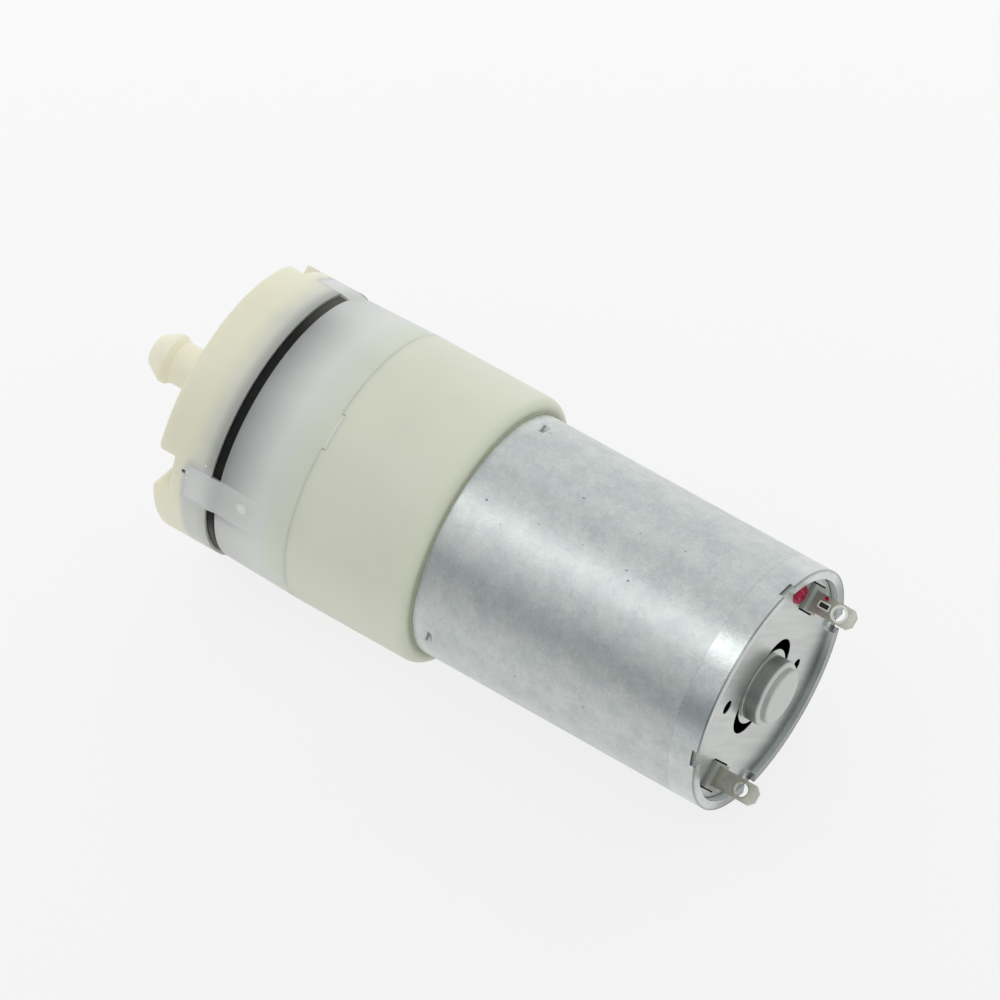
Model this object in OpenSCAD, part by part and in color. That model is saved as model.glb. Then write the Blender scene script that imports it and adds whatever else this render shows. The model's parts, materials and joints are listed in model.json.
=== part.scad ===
// Mini diaphragm air pump: three-cup pump head on a can motor, lying on its side.
// The motor axis is X, with the solder terminals towards +X and the outlet nozzle towards -X.
// The origin is on the axis, at the plane where the head ends and the bare can begins.

/* [Head housing] */
// Wall of the collar that takes the motor can
collar_wall = 1.4; // [1.2:0.1:2.4]
// Height of the base housing
base_h = 12.9; // [12.6:0.1:16]
// Wall of the base housing around the crank space
base_wall = 1.8; // [1.4:0.1:2.2]
// Radius of the base housing's rear lip
lip_r = 1; // [0.4:0.1:1.2]
// Thickness of the floor that the motor is screwed to
floor_t = 1.5; // [1.2:0.1:1.8]
// Height of the diaphragm holder between the parting line and the rubber edge
holder_h = 7.9; // [7.6:0.1:10]
// Narrowing of the diaphragm holder's radius towards the rubber edge
holder_draft = 0.25; // [0:0.05:0.4]
// Wall of the diaphragm holder's skirt
holder_wall = 1.5; // [1.2:0.1:1.8]
// Thickness of the holder's deck that the cups hang through
deck_t = 3.4; // [2.4:0.1:3.6]
// Height of the spigot that plugs into the base housing
spigot_h = 1.5; // [1:0.1:2]
// Wall of the spigot
spigot_wall = 1; // [0.8:0.1:1.2]
// Span of the locating key in degrees
locator_span = 15; // [10:1:24]
// Depth of the locating key
locator_h = 0.35; // [0.2:0.05:0.6]

/* [Latch arms] */
// Width of each latch arm in degrees
arm_width = 16; // [12:0.5:20]
// Thickness of a latch arm
arm_t = 1.15; // [0.9:0.05:1.3]
// Height of the hook at an arm's end
hook_h = 0.7; // [0.4:0.05:0.9]
// Reach of the hook towards the axis
hook_reach = 0.5; // [0.3:0.05:0.6]
// Height of the cap's wall that a hook holds down
hook_seat = 1.95; // [1.6:0.05:2.1]

/* [Valve plate and cap] */
// Step from the base housing's radius to the cap's
cap_step = 0.05; // [0:0.05:0.3]
// Height of the valve plate
plate_h = 3.05; // [2.8:0.05:3.4]
// Wall of the cap between the valve plate and the hooks
cap_wall = 0.5; // [0.4:0.05:0.6]
// Room over the valve plate
lid_room = 0.3; // [0.2:0.05:0.6]
// Width of the raised rim on the cap
rim_w = 4.4; // [3.9:0.1:4.8]
// Depth of the notches over the hooks
notch_depth = 1.9; // [1.6:0.1:2]
// Part of a notch beside its arm, on each side
notch_side = 0.2; // [0:0.05:0.4]
// Rounding of a notch's outer corners
notch_round = 0.6; // [0.2:0.1:0.8]
// Rim left at the inner end of a notch
notch_web = 0.5; // [0.4:0.1:0.8]
// Depth of the cap's face under the rim
rim_depth = 1.5; // [1.2:0.1:1.6]
// Thickness of the cap's face
face_t = 1; // [0.8:0.1:1]
// Rounding of the rim's outer edge
rim_round = 0.4; // [0.2:0.1:0.6]
// Thickness of the valve plate's web
web_t = 1.1; // [0.9:0.1:1.3]
// Depth of the pockets over the cups
pocket_depth = 1; // [0.9:0.1:1.1]
// Diameter of the air inlet holes in the cap's face
inlet_hole_d = 1.4; // [1:0.1:1.8]

/* [Outlet nozzle] */
// Length of the nozzle in front of the rim
nozzle_len = 9; // [7:0.1:12]
// Diameter of the nozzle's neck
neck_d = 4.15; // [3.8:0.05:4.4]
// Diameter of the barb's land
barb_d = 4.9; // [4.6:0.05:5.2]
// Diameter of the nozzle's tip
tip_d = 3.4; // [3.2:0.05:3.7]
// Length of the taper from the land to the tip
barb_taper = 1.6; // [1.2:0.1:2.4]
// Length of the barb's land
barb_land = 0.4; // [0.3:0.05:0.6]
// Length of the slope behind the land
barb_back = 0.6; // [0.4:0.05:0.9]
// Bore of the nozzle
nozzle_bore = 2.2; // [1.8:0.1:2.6]

/* [Diaphragm and valves] */
// Thickness of the rubber flange
flange_t = 0.95; // [0.8:0.05:1.2]
// Distance of the flange's edge under the holder's surface
flange_recess = 0.1; // [0.05:0.05:0.4]
// Wall of the holder outside the bores for the cups
bore_wall = 1.65; // [1.5:0.05:1.9]
// Web of the holder between two bores
bore_web = 1.8; // [1.4:0.1:2.2]
// Wall of a cup
cup_wall = 0.6; // [0.5:0.05:0.8]
// Gap between a cup and its bore in the holder
cup_gap = 0.6; // [0.45:0.05:0.7]
// Diameter of the snap stem under a cup
stem_d = 1.7; // [1.5:0.1:1.9]
// Lap of a valve's disc over its ports
valve_lap = 0.2; // [0.1:0.05:0.3]
// Thickness of the valve discs
valve_t = 0.5; // [0.4:0.05:0.6]

/* [Wobble drive] */
// Tilt of the drive pin to the motor axis
tilt = 8; // [5:0.5:9]
// Distance of the wobble centre behind the rubber edge
pivot_back = 5.6; // [5.4:0.1:5.9]
// Diameter of the drive pin
pin_d = 1.5; // [1.3:0.1:1.8]
// Length of the pin's seat in the wheel
pin_grip = 2.5; // [2:0.1:2.8]
// Diameter of the wobble plate's hub
hub_d = 5.2; // [4.6:0.1:5.6]
// Length of the hub behind the wobble centre
hub_len = 4.6; // [4.2:0.1:4.8]
// Thickness of the wobble plate's arms
wobble_t = 1.2; // [1:0.1:1.4]
// Width of the wobble plate's arms
wobble_arm_w = 3.4; // [2.8:0.1:3.8]
// Diameter of the pads under the cups
pad_d = 4.4; // [4:0.1:4.8]
// Gap between the eccentric wheel and the screw heads
wheel_edge = 0.7; // [0.5:0.1:1.2]
// Thickness of the eccentric wheel's disc
wheel_t = 2.8; // [2.4:0.1:3]
// Diameter of the boss that holds the pin
wheel_boss_d = 5.4; // [5:0.1:5.8]

/* [Motor can] */
// Outer diameter of the motor can
can_d = 24.2; // [23.8:0.1:24.4]
// Length of the bare can behind the head
can_bare = 30.5; // [29:0.1:38]
// Depth that the can stands in the base housing
can_seat = 1.5; // [1.2:0.1:1.8]
// Thickness of the can's sheet
can_wall = 0.9; // [0.7:0.05:1]
// Depth of the end plate under the can's rear rim
plate_recess = 0.8; // [0.8:0.1:1.2]
// Width of the crimp notches in the rear rim
crimp_w = 1.8; // [1.2:0.1:2.4]
// Depth of the crimp notches
crimp_depth = 0.5; // [0.4:0.05:0.6]
// Gap between a motor screw's head and the base housing's wall
screw_edge = 1; // [0.6:0.1:1.4]
// Thread diameter of the motor screws
screw_d = 2.5; // [2:0.1:2.6]
// Head diameter of the motor screws
screw_head_d = 4.4; // [3.8:0.1:4.5]

/* [Rotor] */
// Diameter of the motor shaft
shaft_d = 2; // [1.8:0.1:2.2]
// Air gap between the lamination stack and the magnets
air_gap = 0.45; // [0.3:0.05:0.7]
// Length of the lamination stack
core_len = 13; // [11:0.5:14]
// Width of a pole's stem
stem_w = 2.6; // [2.2:0.1:3]
// Span of a pole's shoe in degrees
shoe_span = 102; // [90:1:108]
// Thickness of a pole's shoe at its tips
shoe_t = 1.3; // [1.1:0.1:1.5]
// Width of a coil across its pole
coil_w = 6.4; // [5.6:0.1:6.6]
// Overhang of a coil past the stack
coil_over = 2; // [1.4:0.1:2.2]
// Diameter of the commutator
comm_d = 5.8; // [5.4:0.1:6.2]
// Length of the commutator's bars
comm_len = 4; // [3.6:0.1:4.2]

/* [Magnets] */
// Thickness of the arc magnets
magnet_t = 2.5; // [2.2:0.1:2.6]
// Length of the arc magnets
magnet_len = 18; // [16:0.5:18.5]
// Span of each magnet in degrees
magnet_span = 134; // [124:1:138]
// Diameter of the clip wire
clip_wire = 0.8; // [0.6:0.1:0.9]

/* [Rear end] */
// Thickness of the end plate
plate_t = 1; // [0.8:0.1:1.2]
// Step from the raised top to the bearing boss
boss_step = 0.5; // [0.3:0.05:0.8]
// Wall of the raised top round the bearing bush
boss_wall = 0.3; // [0.25:0.05:0.5]
// Height of the bearing boss
boss_h = 1.7; // [1.4:0.1:2.2]
// Diameter of the raised top on the boss
boss_top_d = 5.4; // [5:0.1:5.8]
// Height of the raised top on the boss
boss_top_h = 0.55; // [0.3:0.05:0.8]
// Width of the flat ring between the boss and the oval slot
island_w = 0.55; // [0.3:0.05:0.7]
// Reach of the oval slot outside that ring
oval_reach = 1.05; // [0.8:0.05:1.4]
// Width of the oval slot
oval_w = 5.8; // [4.6:0.1:6.2]
// Diameter of the two round holes in the end plate
vent_d = 1.35; // [1:0.05:1.8]
// Distance of a terminal's centre line from the can's inner wall
terminal_edge = 2.25; // [2.1:0.05:2.4]
// Width of a terminal
terminal_w = 1.95; // [1.8:0.05:2.1]
// Thickness of a terminal
terminal_t = 0.5; // [0.4:0.05:0.6]
// Reach of a terminal past the end plate
terminal_len = 4.7; // [4.6:0.1:6]
// Diameter of the eyelet in a terminal
eyelet_d = 1.3; // [1.1:0.05:1.4]
// Distance of the eyelet from the terminal's tip
eyelet_back = 1.6; // [1.3:0.1:1.8]

/* [Placement] */
// Turn of the head about the motor axis
head_roll = 46; // [0:1:359]
// Turn of the motor about its axis
motor_roll = 121; // [0:1:359]
// Turn of the rotor inside the motor
rotor_turn = 20; // [0:1:119]

/* [Hidden] */

$fn = 96;
fine_fn = 32; // rounding of small pieces
past = 0.5; // length that a cutter runs past the surface it opens

// Clearances
press_gap = 0.01; // between pressed pieces of one body
fit_gap = 0.05; // between moulded pieces that plug together
hook_gap = 0.1; // round a hook in its window
run_gap = 0.04; // between a turning piece and its bearing
can_gap = 0.1; // between the can and the base housing's collar
block_gap = 0.15; // round an insulator block in the end plate
wheel_gap = 0.8; // between the base housing's floor and the wheel
hub_gap = 0.35; // between the wheel's boss and the tilted hub
shaft_pin_gap = 0.5; // between the shaft's end and the pin's foot
turn_gap = 0.25; // beside a latch arm, in degrees
play = 0.3; // end play of the rotor

// Heights in the head, from its rear plane towards the nozzle
u_floor = can_seat;
u_crank = u_floor + floor_t;
u_split = base_h;
u_slot = base_h + holder_h;
u_ring = u_slot + flange_t;
u_cap = u_ring + plate_h;
u_lid = u_cap + lid_room;
u_face = u_lid + face_t;
u_front = u_face + rim_depth;
u_notch = u_front - notch_depth;
u_tip = u_front + nozzle_len;
u_deck = u_slot - deck_t;
u_pivot = u_slot - pivot_back;
u_web = u_ring + pocket_depth;
u_web_top = u_web + web_t;

// Shared radii and places of the head
arms = 3;
cups = 3;
cup_turn = 180 / cups; // the cups stand between the latch arms
locator_turn = -71.5; // the locating key's place, counted from a latch arm
can_r = can_d / 2;
head_r = can_r + collar_wall;
cap_r = head_r - cap_step;
holder_front_r = head_r - holder_draft;
base_in_r = head_r - base_wall;
spigot_r = base_in_r - fit_gap;
flange_r = holder_front_r - flange_recess;
arm_in_r = cap_r - arm_t;
arm_top = u_ring + hook_seat + hook_h;
hook_in_r = arm_in_r - hook_reach;
plate_r = hook_in_r - hook_gap - cap_wall;
plate_land = 0.3; // edge of the valve plate that the cap presses on
chamber_r = plate_r - plate_land;
// Each bore stands a wall inside the holder's edge and a web from its neighbours
spread = sin(180 / cups);
cup_bore_r = (spread * (holder_front_r - bore_wall) - bore_web / 2) / (spread + 1);
cup_ring_r = holder_front_r - bore_wall - cup_bore_r;
cup_r = cup_bore_r - cup_gap;
mouth_r = cup_r - cup_wall;
valve_off = 0.9; // the inlet valves stand this much outside the cups' centres
valve_ring_r = cup_ring_r + valve_off;
valve_stem_r = 0.5;
valve_bulb_r = 0.75;
port_r = 0.45;
port_ring_r = 1.2;
inlet_valve_r = port_ring_r + port_r + valve_lap;
outlet_port_r = 0.6;
outlet_port_ring_r = cup_ring_r - mouth_r + outlet_port_r + fit_gap;
outlet_valve_r = outlet_port_ring_r + outlet_port_r + valve_lap;
outlet_chamber_r = outlet_valve_r + 0.25; // with room round the disc
chamber_wall = 0.75;
inlet_chamber_r = outlet_chamber_r + chamber_wall;
wobble_top = 0.8; // the wobble plate's front face lies this far behind the wobble centre
screw_ring_r = base_in_r - screw_edge - screw_head_d / 2;
wheel_r = screw_ring_r - screw_head_d / 2 - wheel_edge;
wheel_low = u_crank + wheel_gap;
wheel_top = u_pivot - hub_len * cos(tilt) - hub_d / 2 * sin(tilt) - hub_gap;
pin_foot = wheel_top - pin_grip;
pin_head = 0.05; // the pin ends this far behind the wobble centre
pin_len = (u_pivot - pin_foot) / cos(tilt) - pin_head;
shaft_front = pin_foot - pin_d / 2 * sin(tilt) - shaft_pin_gap;

// Places along the motor, from the head's rear plane towards the terminals
m_front = -can_seat;
m_rim = can_bare;
m_plate = m_rim - plate_recess;
m_plate_in = m_plate - plate_t;
can_in_r = can_r - can_wall;
pilot_r = can_r - 0.25; // the can's seat in the base housing stands in from its side
front_round = 1.2; // rounding of the can's front edge
boss_d = boss_top_d + 2 * boss_step;
bush_d = boss_top_d - 2 * boss_wall;
front_boss_wall = 0.8;
front_boss_d = bush_d + 2 * front_boss_wall;
front_boss_h = 1.4;
front_hole_d = shaft_d + 1;
bush_lip = 0.4; // sheet left in front of the front bearing
m_bush = m_front - front_boss_h + bush_lip;
front_bush_len = 3;
rear_bush_len = 2.9;
boss_skin = 0.6; // metal left behind the rear bearing
m_boss = m_plate + boss_h;
m_bush_end = m_boss + boss_top_h - boss_skin;
m_shaft_end = m_bush_end - play;
base_plate_t = 1.6;
m_brush_base = m_plate_in - base_plate_t;
comm_gap = 0.5; // between the commutator and the brush base
m_comm_end = m_brush_base - comm_gap;
m_comm = m_comm_end - comm_len;
coil_gap = 0.9; // between the coils and the commutator's risers
m_core_end = m_comm - coil_over - coil_gap;
m_core = m_core_end - core_len;
m_magnet = m_core + core_len / 2 - magnet_len / 2;

// Shared radii of the motor
magnet_out_r = can_in_r - fit_gap;
magnet_in_r = magnet_out_r - magnet_t;
rotor_r = magnet_in_r - air_gap;
core_hub_r = 2.7;
shoe_in_r = rotor_r - shoe_t;
coil_in = 2.9; // distance of a coil's foot from the axis
coil_top = sqrt(pow(shoe_in_r - 0.1, 2) - pow(coil_w / 2, 2)); // it clears the shoe by 0.1
poles = 3;
comm_bar_t = 0.9;
brush_w = 2.2;
brush_h = 2.4;
brush_len = 1.7;
brush_inset = 0.6; // between the brushes and the commutator's end
m_brush = m_comm_end - brush_h - brush_inset;
leaf_t = 0.2;
leaf_h = brush_h + 0.2; // a leaf stands out on both sides of its brush
leaf_y = comm_d / 2 + fit_gap + brush_len + leaf_t / 2;
island_r = boss_d / 2 + island_w;
terminal_r = can_in_r - terminal_edge;
opening_in = terminal_r - 1.35; // the end plate's openings, from the axis
opening_out = terminal_r + 1.55;
opening_near = 1.7; // their reach to the near side
opening_far = 2.4; // their reach to the far side
block_up = 0.35; // the insulator blocks stand out of the end plate by this much
foot_gap = 0.3; // a terminal's foot reaches this far past its leaf
terminal_foot = m_brush - foot_gap;
window = [0.45, 0.95]; // across the terminal and along it
window_up = 1.5;
tip_chamfer = 0.5;

module head_place() rotate([0, -90, 0]) rotate(head_roll) children();
module motor_place() rotate([0, 90, 0]) rotate(motor_roll) children();
module rotor_place() motor_place() rotate(rotor_turn) children();
module wobble_place() head_place() up(u_pivot) rotate(cup_turn) rotate([0, -tilt, 0]) children();
module up(h) translate([0, 0, h]) children();
module out(r) translate([r, 0, 0]) children();
module around(count) for (i = [0 : count - 1]) rotate(i * 360 / count) children();
module cup_places() rotate(cup_turn) around(cups) out(cup_ring_r) children();

// A plain ring from one height to another
module ring(r_in, r_out, low, high) {
  difference() {
    up(low) cylinder(h = high - low, r = r_out);
    up(low - past) cylinder(h = high - low + 2 * past, r = r_in);
  }
}

// A piece of a ring, centred on the direction of local X
module sector(r_in, r_out, low, high, span) {
  up(low) rotate(-span / 2) rotate_extrude(angle = span)
    translate([r_in, 0]) square([r_out - r_in, high - low]);
}

// The half outline of a round body with a rounded outer edge at its low end
module low_round_outline(r_in, r_out, low, high, round) {
  translate([r_in, low + round]) square([r_out - r_in, high - low - round]);
  translate([r_in, low]) square([r_out - r_in - round, round + past / 10]);
  translate([r_out - round, low + round]) circle(r = round);
}

// A round body with a rounded edge at its high end
module high_round(r, low, high, round) rotate_extrude() translate([0, low + high]) mirror([0, 1])
  low_round_outline(0, r, low, high, round);

// A rounded rectangle centred on the origin
module soft_rect(size, round) {
  square([size.x - 2 * round, size.y], center = true);
  square([size.x, size.y - 2 * round], center = true);
  for (x = [-1, 1], y = [-1, 1])
    translate([x * (size.x / 2 - round), y * (size.y / 2 - round)]) circle(r = round, $fn = fine_fn);
}

// The edge of a strip of sheet that follows a bent line, on one side of it
function heading(points, i) = let (run = points[i + 1] - points[i]) run / norm(run);
function strip_edge(points, reach) = [
  for (i = [0 : len(points) - 1]) let (
    last = len(points) - 2,
    before = heading(points, max(i - 1, 0)),
    after = heading(points, min(i, last)),
    mean = (before + after) / 2
  ) points[i] + reach * [-mean.y, mean.x] / (mean * mean)
];

// A strip of sheet that follows a bent line
module bent_strip(points, t) {
  left = strip_edge(points, t / 2);
  right = strip_edge(points, -t / 2);
  polygon(concat(left, [for (i = [len(right) - 1 : -1 : 0]) right[i]]));
}

// Cap with a raised rim, three notches, grooves and windows for the latch arms, and the nozzle
module head_cover() color("ivory") head_place() {
  pick_turn = 4.5; // small slot at each arm's end, for a release tool
  pick_span = 1.6;
  pick_h = 0.35;
  pick_depth = 0.4;
  difference() {
    high_round(cap_r, u_ring, u_front, rim_round);
    up(u_face) cylinder(h = rim_depth + past, r = cap_r - rim_w);
    up(u_ring - past) cylinder(h = plate_h + past, r = plate_r);
    up(u_cap - past) cylinder(h = lid_room + past, r = outlet_chamber_r);
    ring(inlet_chamber_r, chamber_r, u_cap - past, u_lid);
    around(arms) {
      room = arm_width + 2 * turn_gap;
      sector(arm_in_r - fit_gap, cap_r + past, u_ring - past, arm_top + fit_gap, room);
      sector(hook_in_r - hook_gap, arm_in_r, arm_top - hook_h - fit_gap, arm_top + fit_gap, room);
      out(cap_r - rim_w + notch_web) rotate([90, 0, 90]) linear_extrude(rim_w) notch_outline();
      rotate(pick_turn) sector(cap_r - pick_depth, cap_r + past, arm_top, arm_top + pick_h, pick_span);
    }
    up(u_lid - past) cylinder(h = face_t + 2 * past, r = nozzle_bore / 2);
    rotate(cup_turn) around(cups) out(valve_ring_r) up(u_lid - past)
      cylinder(h = face_t + 2 * past, d = inlet_hole_d);
  }
  nozzle();
}

// A notch with its outer corners rounded, seen along a radius
module notch_outline() {
  half = cap_r * sin(arm_width / 2) + notch_side;
  translate([-half, u_notch]) square([2 * half, notch_depth + past]);
  for (side = [-1, 1]) difference() {
    translate([side * (half + notch_round / 2), u_front + (past - notch_round) / 2])
      square([notch_round, notch_round + past], center = true);
    translate([side * (half + notch_round), u_front - notch_round]) circle(r = notch_round);
  }
}

module nozzle() {
  bore_r = nozzle_bore / 2;
  root_h = 0.5;
  land_top = u_tip - barb_taper;
  land_low = land_top - barb_land;
  edge = 0.2;
  tip_round = 0.3;
  rotate_extrude() polygon([
    [bore_r, u_face - edge], [neck_d / 2 + root_h, u_face - edge], [neck_d / 2 + root_h, u_face],
    [neck_d / 2, u_face + root_h], [neck_d / 2, land_low - barb_back], [barb_d / 2, land_low],
    [barb_d / 2, land_top], [tip_d / 2, u_tip - tip_round],
    [(tip_d - tip_round) / 2, u_tip - tip_round / 4], [tip_d / 2 - tip_round, u_tip], [bore_r, u_tip]
  ]);
}

// Umbrella valve: a thin disc on a snap stem, with its disc from the origin upwards
module umbrella(disc_r, reach) {
  cylinder(h = valve_t, r = disc_r);
  up(-reach) cylinder(h = reach, r = valve_stem_r - fit_gap, $fn = fine_fn);
  up(-reach - valve_bulb_r) cylinder(h = valve_bulb_r, r1 = valve_stem_r - fit_gap, r2 = valve_bulb_r,
    $fn = fine_fn);
}

module outlet_valve() color("dimgray") head_place() up(u_web_top) umbrella(outlet_valve_r, web_t);

module inlet_valves() color("dimgray") head_place() rotate(cup_turn) around(cups)
  out(valve_ring_r) up(u_web) mirror([0, 0, 1]) umbrella(inlet_valve_r, web_t);

// Plate in the cap, with a web that holds the valves and pockets that seal on the cups
module valve_plate() color("gainsboro") head_place() difference() {
  up(u_ring) cylinder(h = plate_h, r = plate_r - fit_gap);
  up(u_web_top) cylinder(h = plate_h, r = outlet_chamber_r);
  ring(inlet_chamber_r, chamber_r, u_web_top, u_cap + past);
  cup_places() up(u_ring - past) cylinder(h = pocket_depth + past, r = mouth_r);
  up(u_ring - past) cylinder(h = pocket_depth + past, r = valve_bulb_r + port_r);
  up(u_web - past) cylinder(h = web_t + 2 * past, r = valve_stem_r, $fn = fine_fn);
  rotate(cup_turn) around(cups) {
    out(valve_ring_r) up(u_web - past) {
      cylinder(h = web_t + 2 * past, r = valve_stem_r, $fn = fine_fn);
      around(cups) out(port_ring_r) cylinder(h = web_t + 2 * past, r = port_r, $fn = fine_fn);
    }
    out(outlet_port_ring_r) up(u_web - past)
      cylinder(h = web_t + 2 * past, r = outlet_port_r, $fn = fine_fn);
  }
}

// Rubber moulding: flange with three cups, each at the height that the tilted plate gives it
module diaphragm() color("black") {
  cup_lift = 0.45; // between the wobble plate and the cups' floors
  head_place() difference() {
    up(u_slot) cylinder(h = flange_t, r = flange_r);
    around(arms) sector(arm_in_r - fit_gap, cap_r, u_slot - past, u_ring + past,
      arm_width + 2 * turn_gap);
    cup_places() up(u_slot - past) cylinder(h = flange_t + 2 * past, r = mouth_r);
  }
  head_place() rotate(cup_turn) for (i = [0 : cups - 1]) rotate(i * 360 / cups) out(cup_ring_r)
    cup(u_pivot - wobble_top + cup_lift + cup_ring_r * sin(tilt) * cos(i * 360 / cups));
  wobble_place() around(cups) out(cup_ring_r) snap_stem();
}

// One cup, from its floor to the flange
module cup(low) {
  r = cup_r;
  floor_r = 2.4;
  shoulder_h = 1.8;
  t = cup_wall;
  rotate_extrude() polygon([
    [0, low], [floor_r, low], [r - t / 2, low + shoulder_h], [r, u_slot + t / 2], [r - t, u_slot + t / 2],
    [r - 1.5 * t, low + shoulder_h + t / 2], [floor_r - t / 2, low + 1.5 * t], [0, low + 1.5 * t]
  ]);
}

// Stem that snaps through a hole of the wobble plate
module snap_stem() {
  collar_r = 1.8;
  bulb_r = 1.3;
  under = wobble_top + wobble_t + fit_gap;
  up(-wobble_top + fit_gap / 2) cylinder(h = wobble_top, r = collar_r, $fn = fine_fn);
  up(-under - fit_gap) cylinder(h = under, d = stem_d, $fn = fine_fn);
  up(-under - bulb_r) cylinder(h = bulb_r, r1 = stem_d / 2 - fit_gap, r2 = bulb_r, $fn = fine_fn);
}

// Latch arm with a hook at its end and a lead-in slope on the hook
module latch_arm() {
  lead = 0.3;
  edge = 0.05;
  sunk = 0.02; // the arm's outside starts this far under the holder's
  rotate(-arm_width / 2) rotate_extrude(angle = arm_width) polygon([
    [arm_in_r, u_slot - past], [holder_front_r - sunk, u_slot - past], [cap_r, u_ring],
    [cap_r, arm_top - edge], [cap_r - edge, arm_top], [hook_in_r + lead, arm_top],
    [hook_in_r, arm_top - lead], [hook_in_r, arm_top - hook_h], [arm_in_r, arm_top - hook_h]
  ]);
}

// Holder: skirt, deck with three bores, spigot, locating key and three latch arms
module diaphragm_holder() color("whitesmoke") head_place() {
  skirt_in_r = head_r - holder_wall;
  ledge = 1; // height of the step between the spigot and the skirt
  relief_r = 1.5;
  relief_floor = 1;
  difference() {
    union() {
      up(u_split) cylinder(h = holder_h, r1 = head_r, r2 = holder_front_r);
      up(u_split - spigot_h) cylinder(h = spigot_h + past, r = spigot_r);
      ejector_pip();
    }
    up(u_split - spigot_h - past) cylinder(h = spigot_h + ledge + past, r = spigot_r - spigot_wall);
    up(u_split + ledge) cylinder(h = u_deck - u_split - ledge, r = skirt_in_r);
    cup_places() up(u_deck - past) cylinder(h = deck_t + 2 * past, r = cup_bore_r);
    around(arms) out(cup_ring_r + cup_gap + relief_r) up(u_deck - past)
      cylinder(h = deck_t - relief_floor + past, r = relief_r, $fn = fine_fn);
  }
  around(arms) latch_arm();
  rotate(locator_turn) sector(base_in_r + fit_gap, head_r, u_split - locator_h, u_split + past / 10,
    locator_span);
}

// Low round pip behind one latch arm
module ejector_pip() {
  pip_turn = -118;
  pip_back = 2.75; // from the rubber edge
  pip_r = 0.55;
  pip_len = 0.95;
  rotate(pip_turn) out(head_r - fit_gap - pip_len) up(u_slot - pip_back) rotate([0, 90, 0])
    cylinder(h = pip_len, r = pip_r, $fn = fine_fn);
}

// Cup-shaped housing that takes the can in its collar and the drive in its bore
module base_housing() color("beige") difference() {
  joint_h = 0.3; // depth of the open joint round the can
  head_place() difference() {
    rotate_extrude() low_round_outline(0, head_r, 0, base_h, lip_r);
    up(-past) cylinder(h = can_seat + past, r = pilot_r + fit_gap);
    up(-past) cylinder(h = joint_h + past, r = can_r + can_gap);
    up(u_crank) cylinder(h = base_h, r = base_in_r);
    rotate(locator_turn) sector(base_in_r - past, head_r + past, u_split - locator_h, u_split + past,
      locator_span + 2 * turn_gap);
  }
  motor_place() up(-u_crank - past) {
    cylinder(h = floor_t + 2 * past, d = front_boss_d + 2 * can_gap);
    screw_places() cylinder(h = floor_t + 2 * past, d = screw_d + 2 * can_gap, $fn = fine_fn);
  }
}

module screw_places() for (side = [-1, 1]) translate([0, side * screw_ring_r, 0]) children();

// Two pan head screws through the base housing's floor into the can
module motor_screws() color("silver") motor_place() screw_places() difference() {
  head_h = 1.3;
  slot_w = 0.5;
  slot_h = 0.7;
  union() {
    up(-u_crank - head_h) cylinder(h = head_h, d = screw_head_d, $fn = fine_fn);
    up(-u_crank) cylinder(h = floor_t + can_wall + past, d = screw_d, $fn = fine_fn);
  }
  for (turn = [0, 90]) rotate(turn) up(-u_crank - head_h)
    cube([screw_head_d / 2, slot_w, 2 * slot_h], center = true);
}

// Drawn steel can with a bearing boss in front and a crimped rim behind
module motor_can() color("silver") motor_place() {
  tab_in = 0.8;
  tab_side = 0.15;
  tab_w = crimp_w - 2 * tab_side;
  difference() {
    union() {
      rotate_extrude() low_round_outline(0, pilot_r, m_front, past, front_round);
      cylinder(h = m_rim, r = can_r);
      up(m_front - front_boss_h) cylinder(h = front_boss_h + past, d = front_boss_d);
    }
    up(m_front + can_wall) cylinder(h = m_rim + past - m_front - can_wall, r = can_in_r);
    up(m_bush) cylinder(h = front_boss_h + can_wall, d = bush_d + 2 * press_gap);
    up(m_front - front_boss_h - past) cylinder(h = front_boss_h, d = front_hole_d);
    screw_places() up(m_front - past) cylinder(h = can_wall + 2 * past, d = screw_d + 2 * press_gap,
      $fn = fine_fn);
    crimp_places() translate([can_in_r - past, -crimp_w / 2, m_rim - crimp_depth])
      cube([can_wall + 2 * past, crimp_w, crimp_depth + past]);
    stake_marks();
  }
  crimp_places() translate([can_in_r - tab_in + tab_w / 2, 0, m_plate])
    linear_extrude(plate_recess - crimp_depth) {
      circle(d = tab_w, $fn = fine_fn);
      translate([0, -tab_w / 2]) square([tab_in + (can_wall - tab_w) / 2, tab_w]);
    }
}

module crimp_places() rotate(45) around(4) children();

// Punch marks that fix the magnets, two on each side of the terminal line
module stake_marks() {
  stake_turn = 28;
  stake_back = 1.7;
  stake_size = [1.1, 1.8]; // along the can and round it
  depth = 0.35;
  for (side = [0, 180], turn = [-stake_turn, stake_turn]) rotate(side + turn)
    out(can_r - depth) up(stake_back) rotate([0, 90, 0]) intersection() {
      stake_wedge(stake_size.x, depth);
      rotate(90) stake_wedge(stake_size.y, depth);
    }
}

// A wedge with its edge on local Y, open to a width at a height and past it
module stake_wedge(width, height) {
  top = 2 * height;
  rotate([90, 0, 0]) linear_extrude(4 * width + top, center = true)
    polygon([[0, 0], [width, top], [-width, top]]);
}

module bush(low, length) ring(shaft_d / 2 + run_gap, bush_d / 2, low, low + length);

module front_bearing() color("peru") motor_place() bush(m_bush, front_bush_len);
module rear_bearing() color("peru") motor_place() bush(m_bush_end - rear_bush_len, rear_bush_len);

module arc_magnet(side) color("dimgray") motor_place() rotate(side)
  sector(magnet_in_r, magnet_out_r, m_magnet, m_magnet + magnet_len, magnet_span);
module magnet_left() arc_magnet(90);
module magnet_right() arc_magnet(-90);

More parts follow.
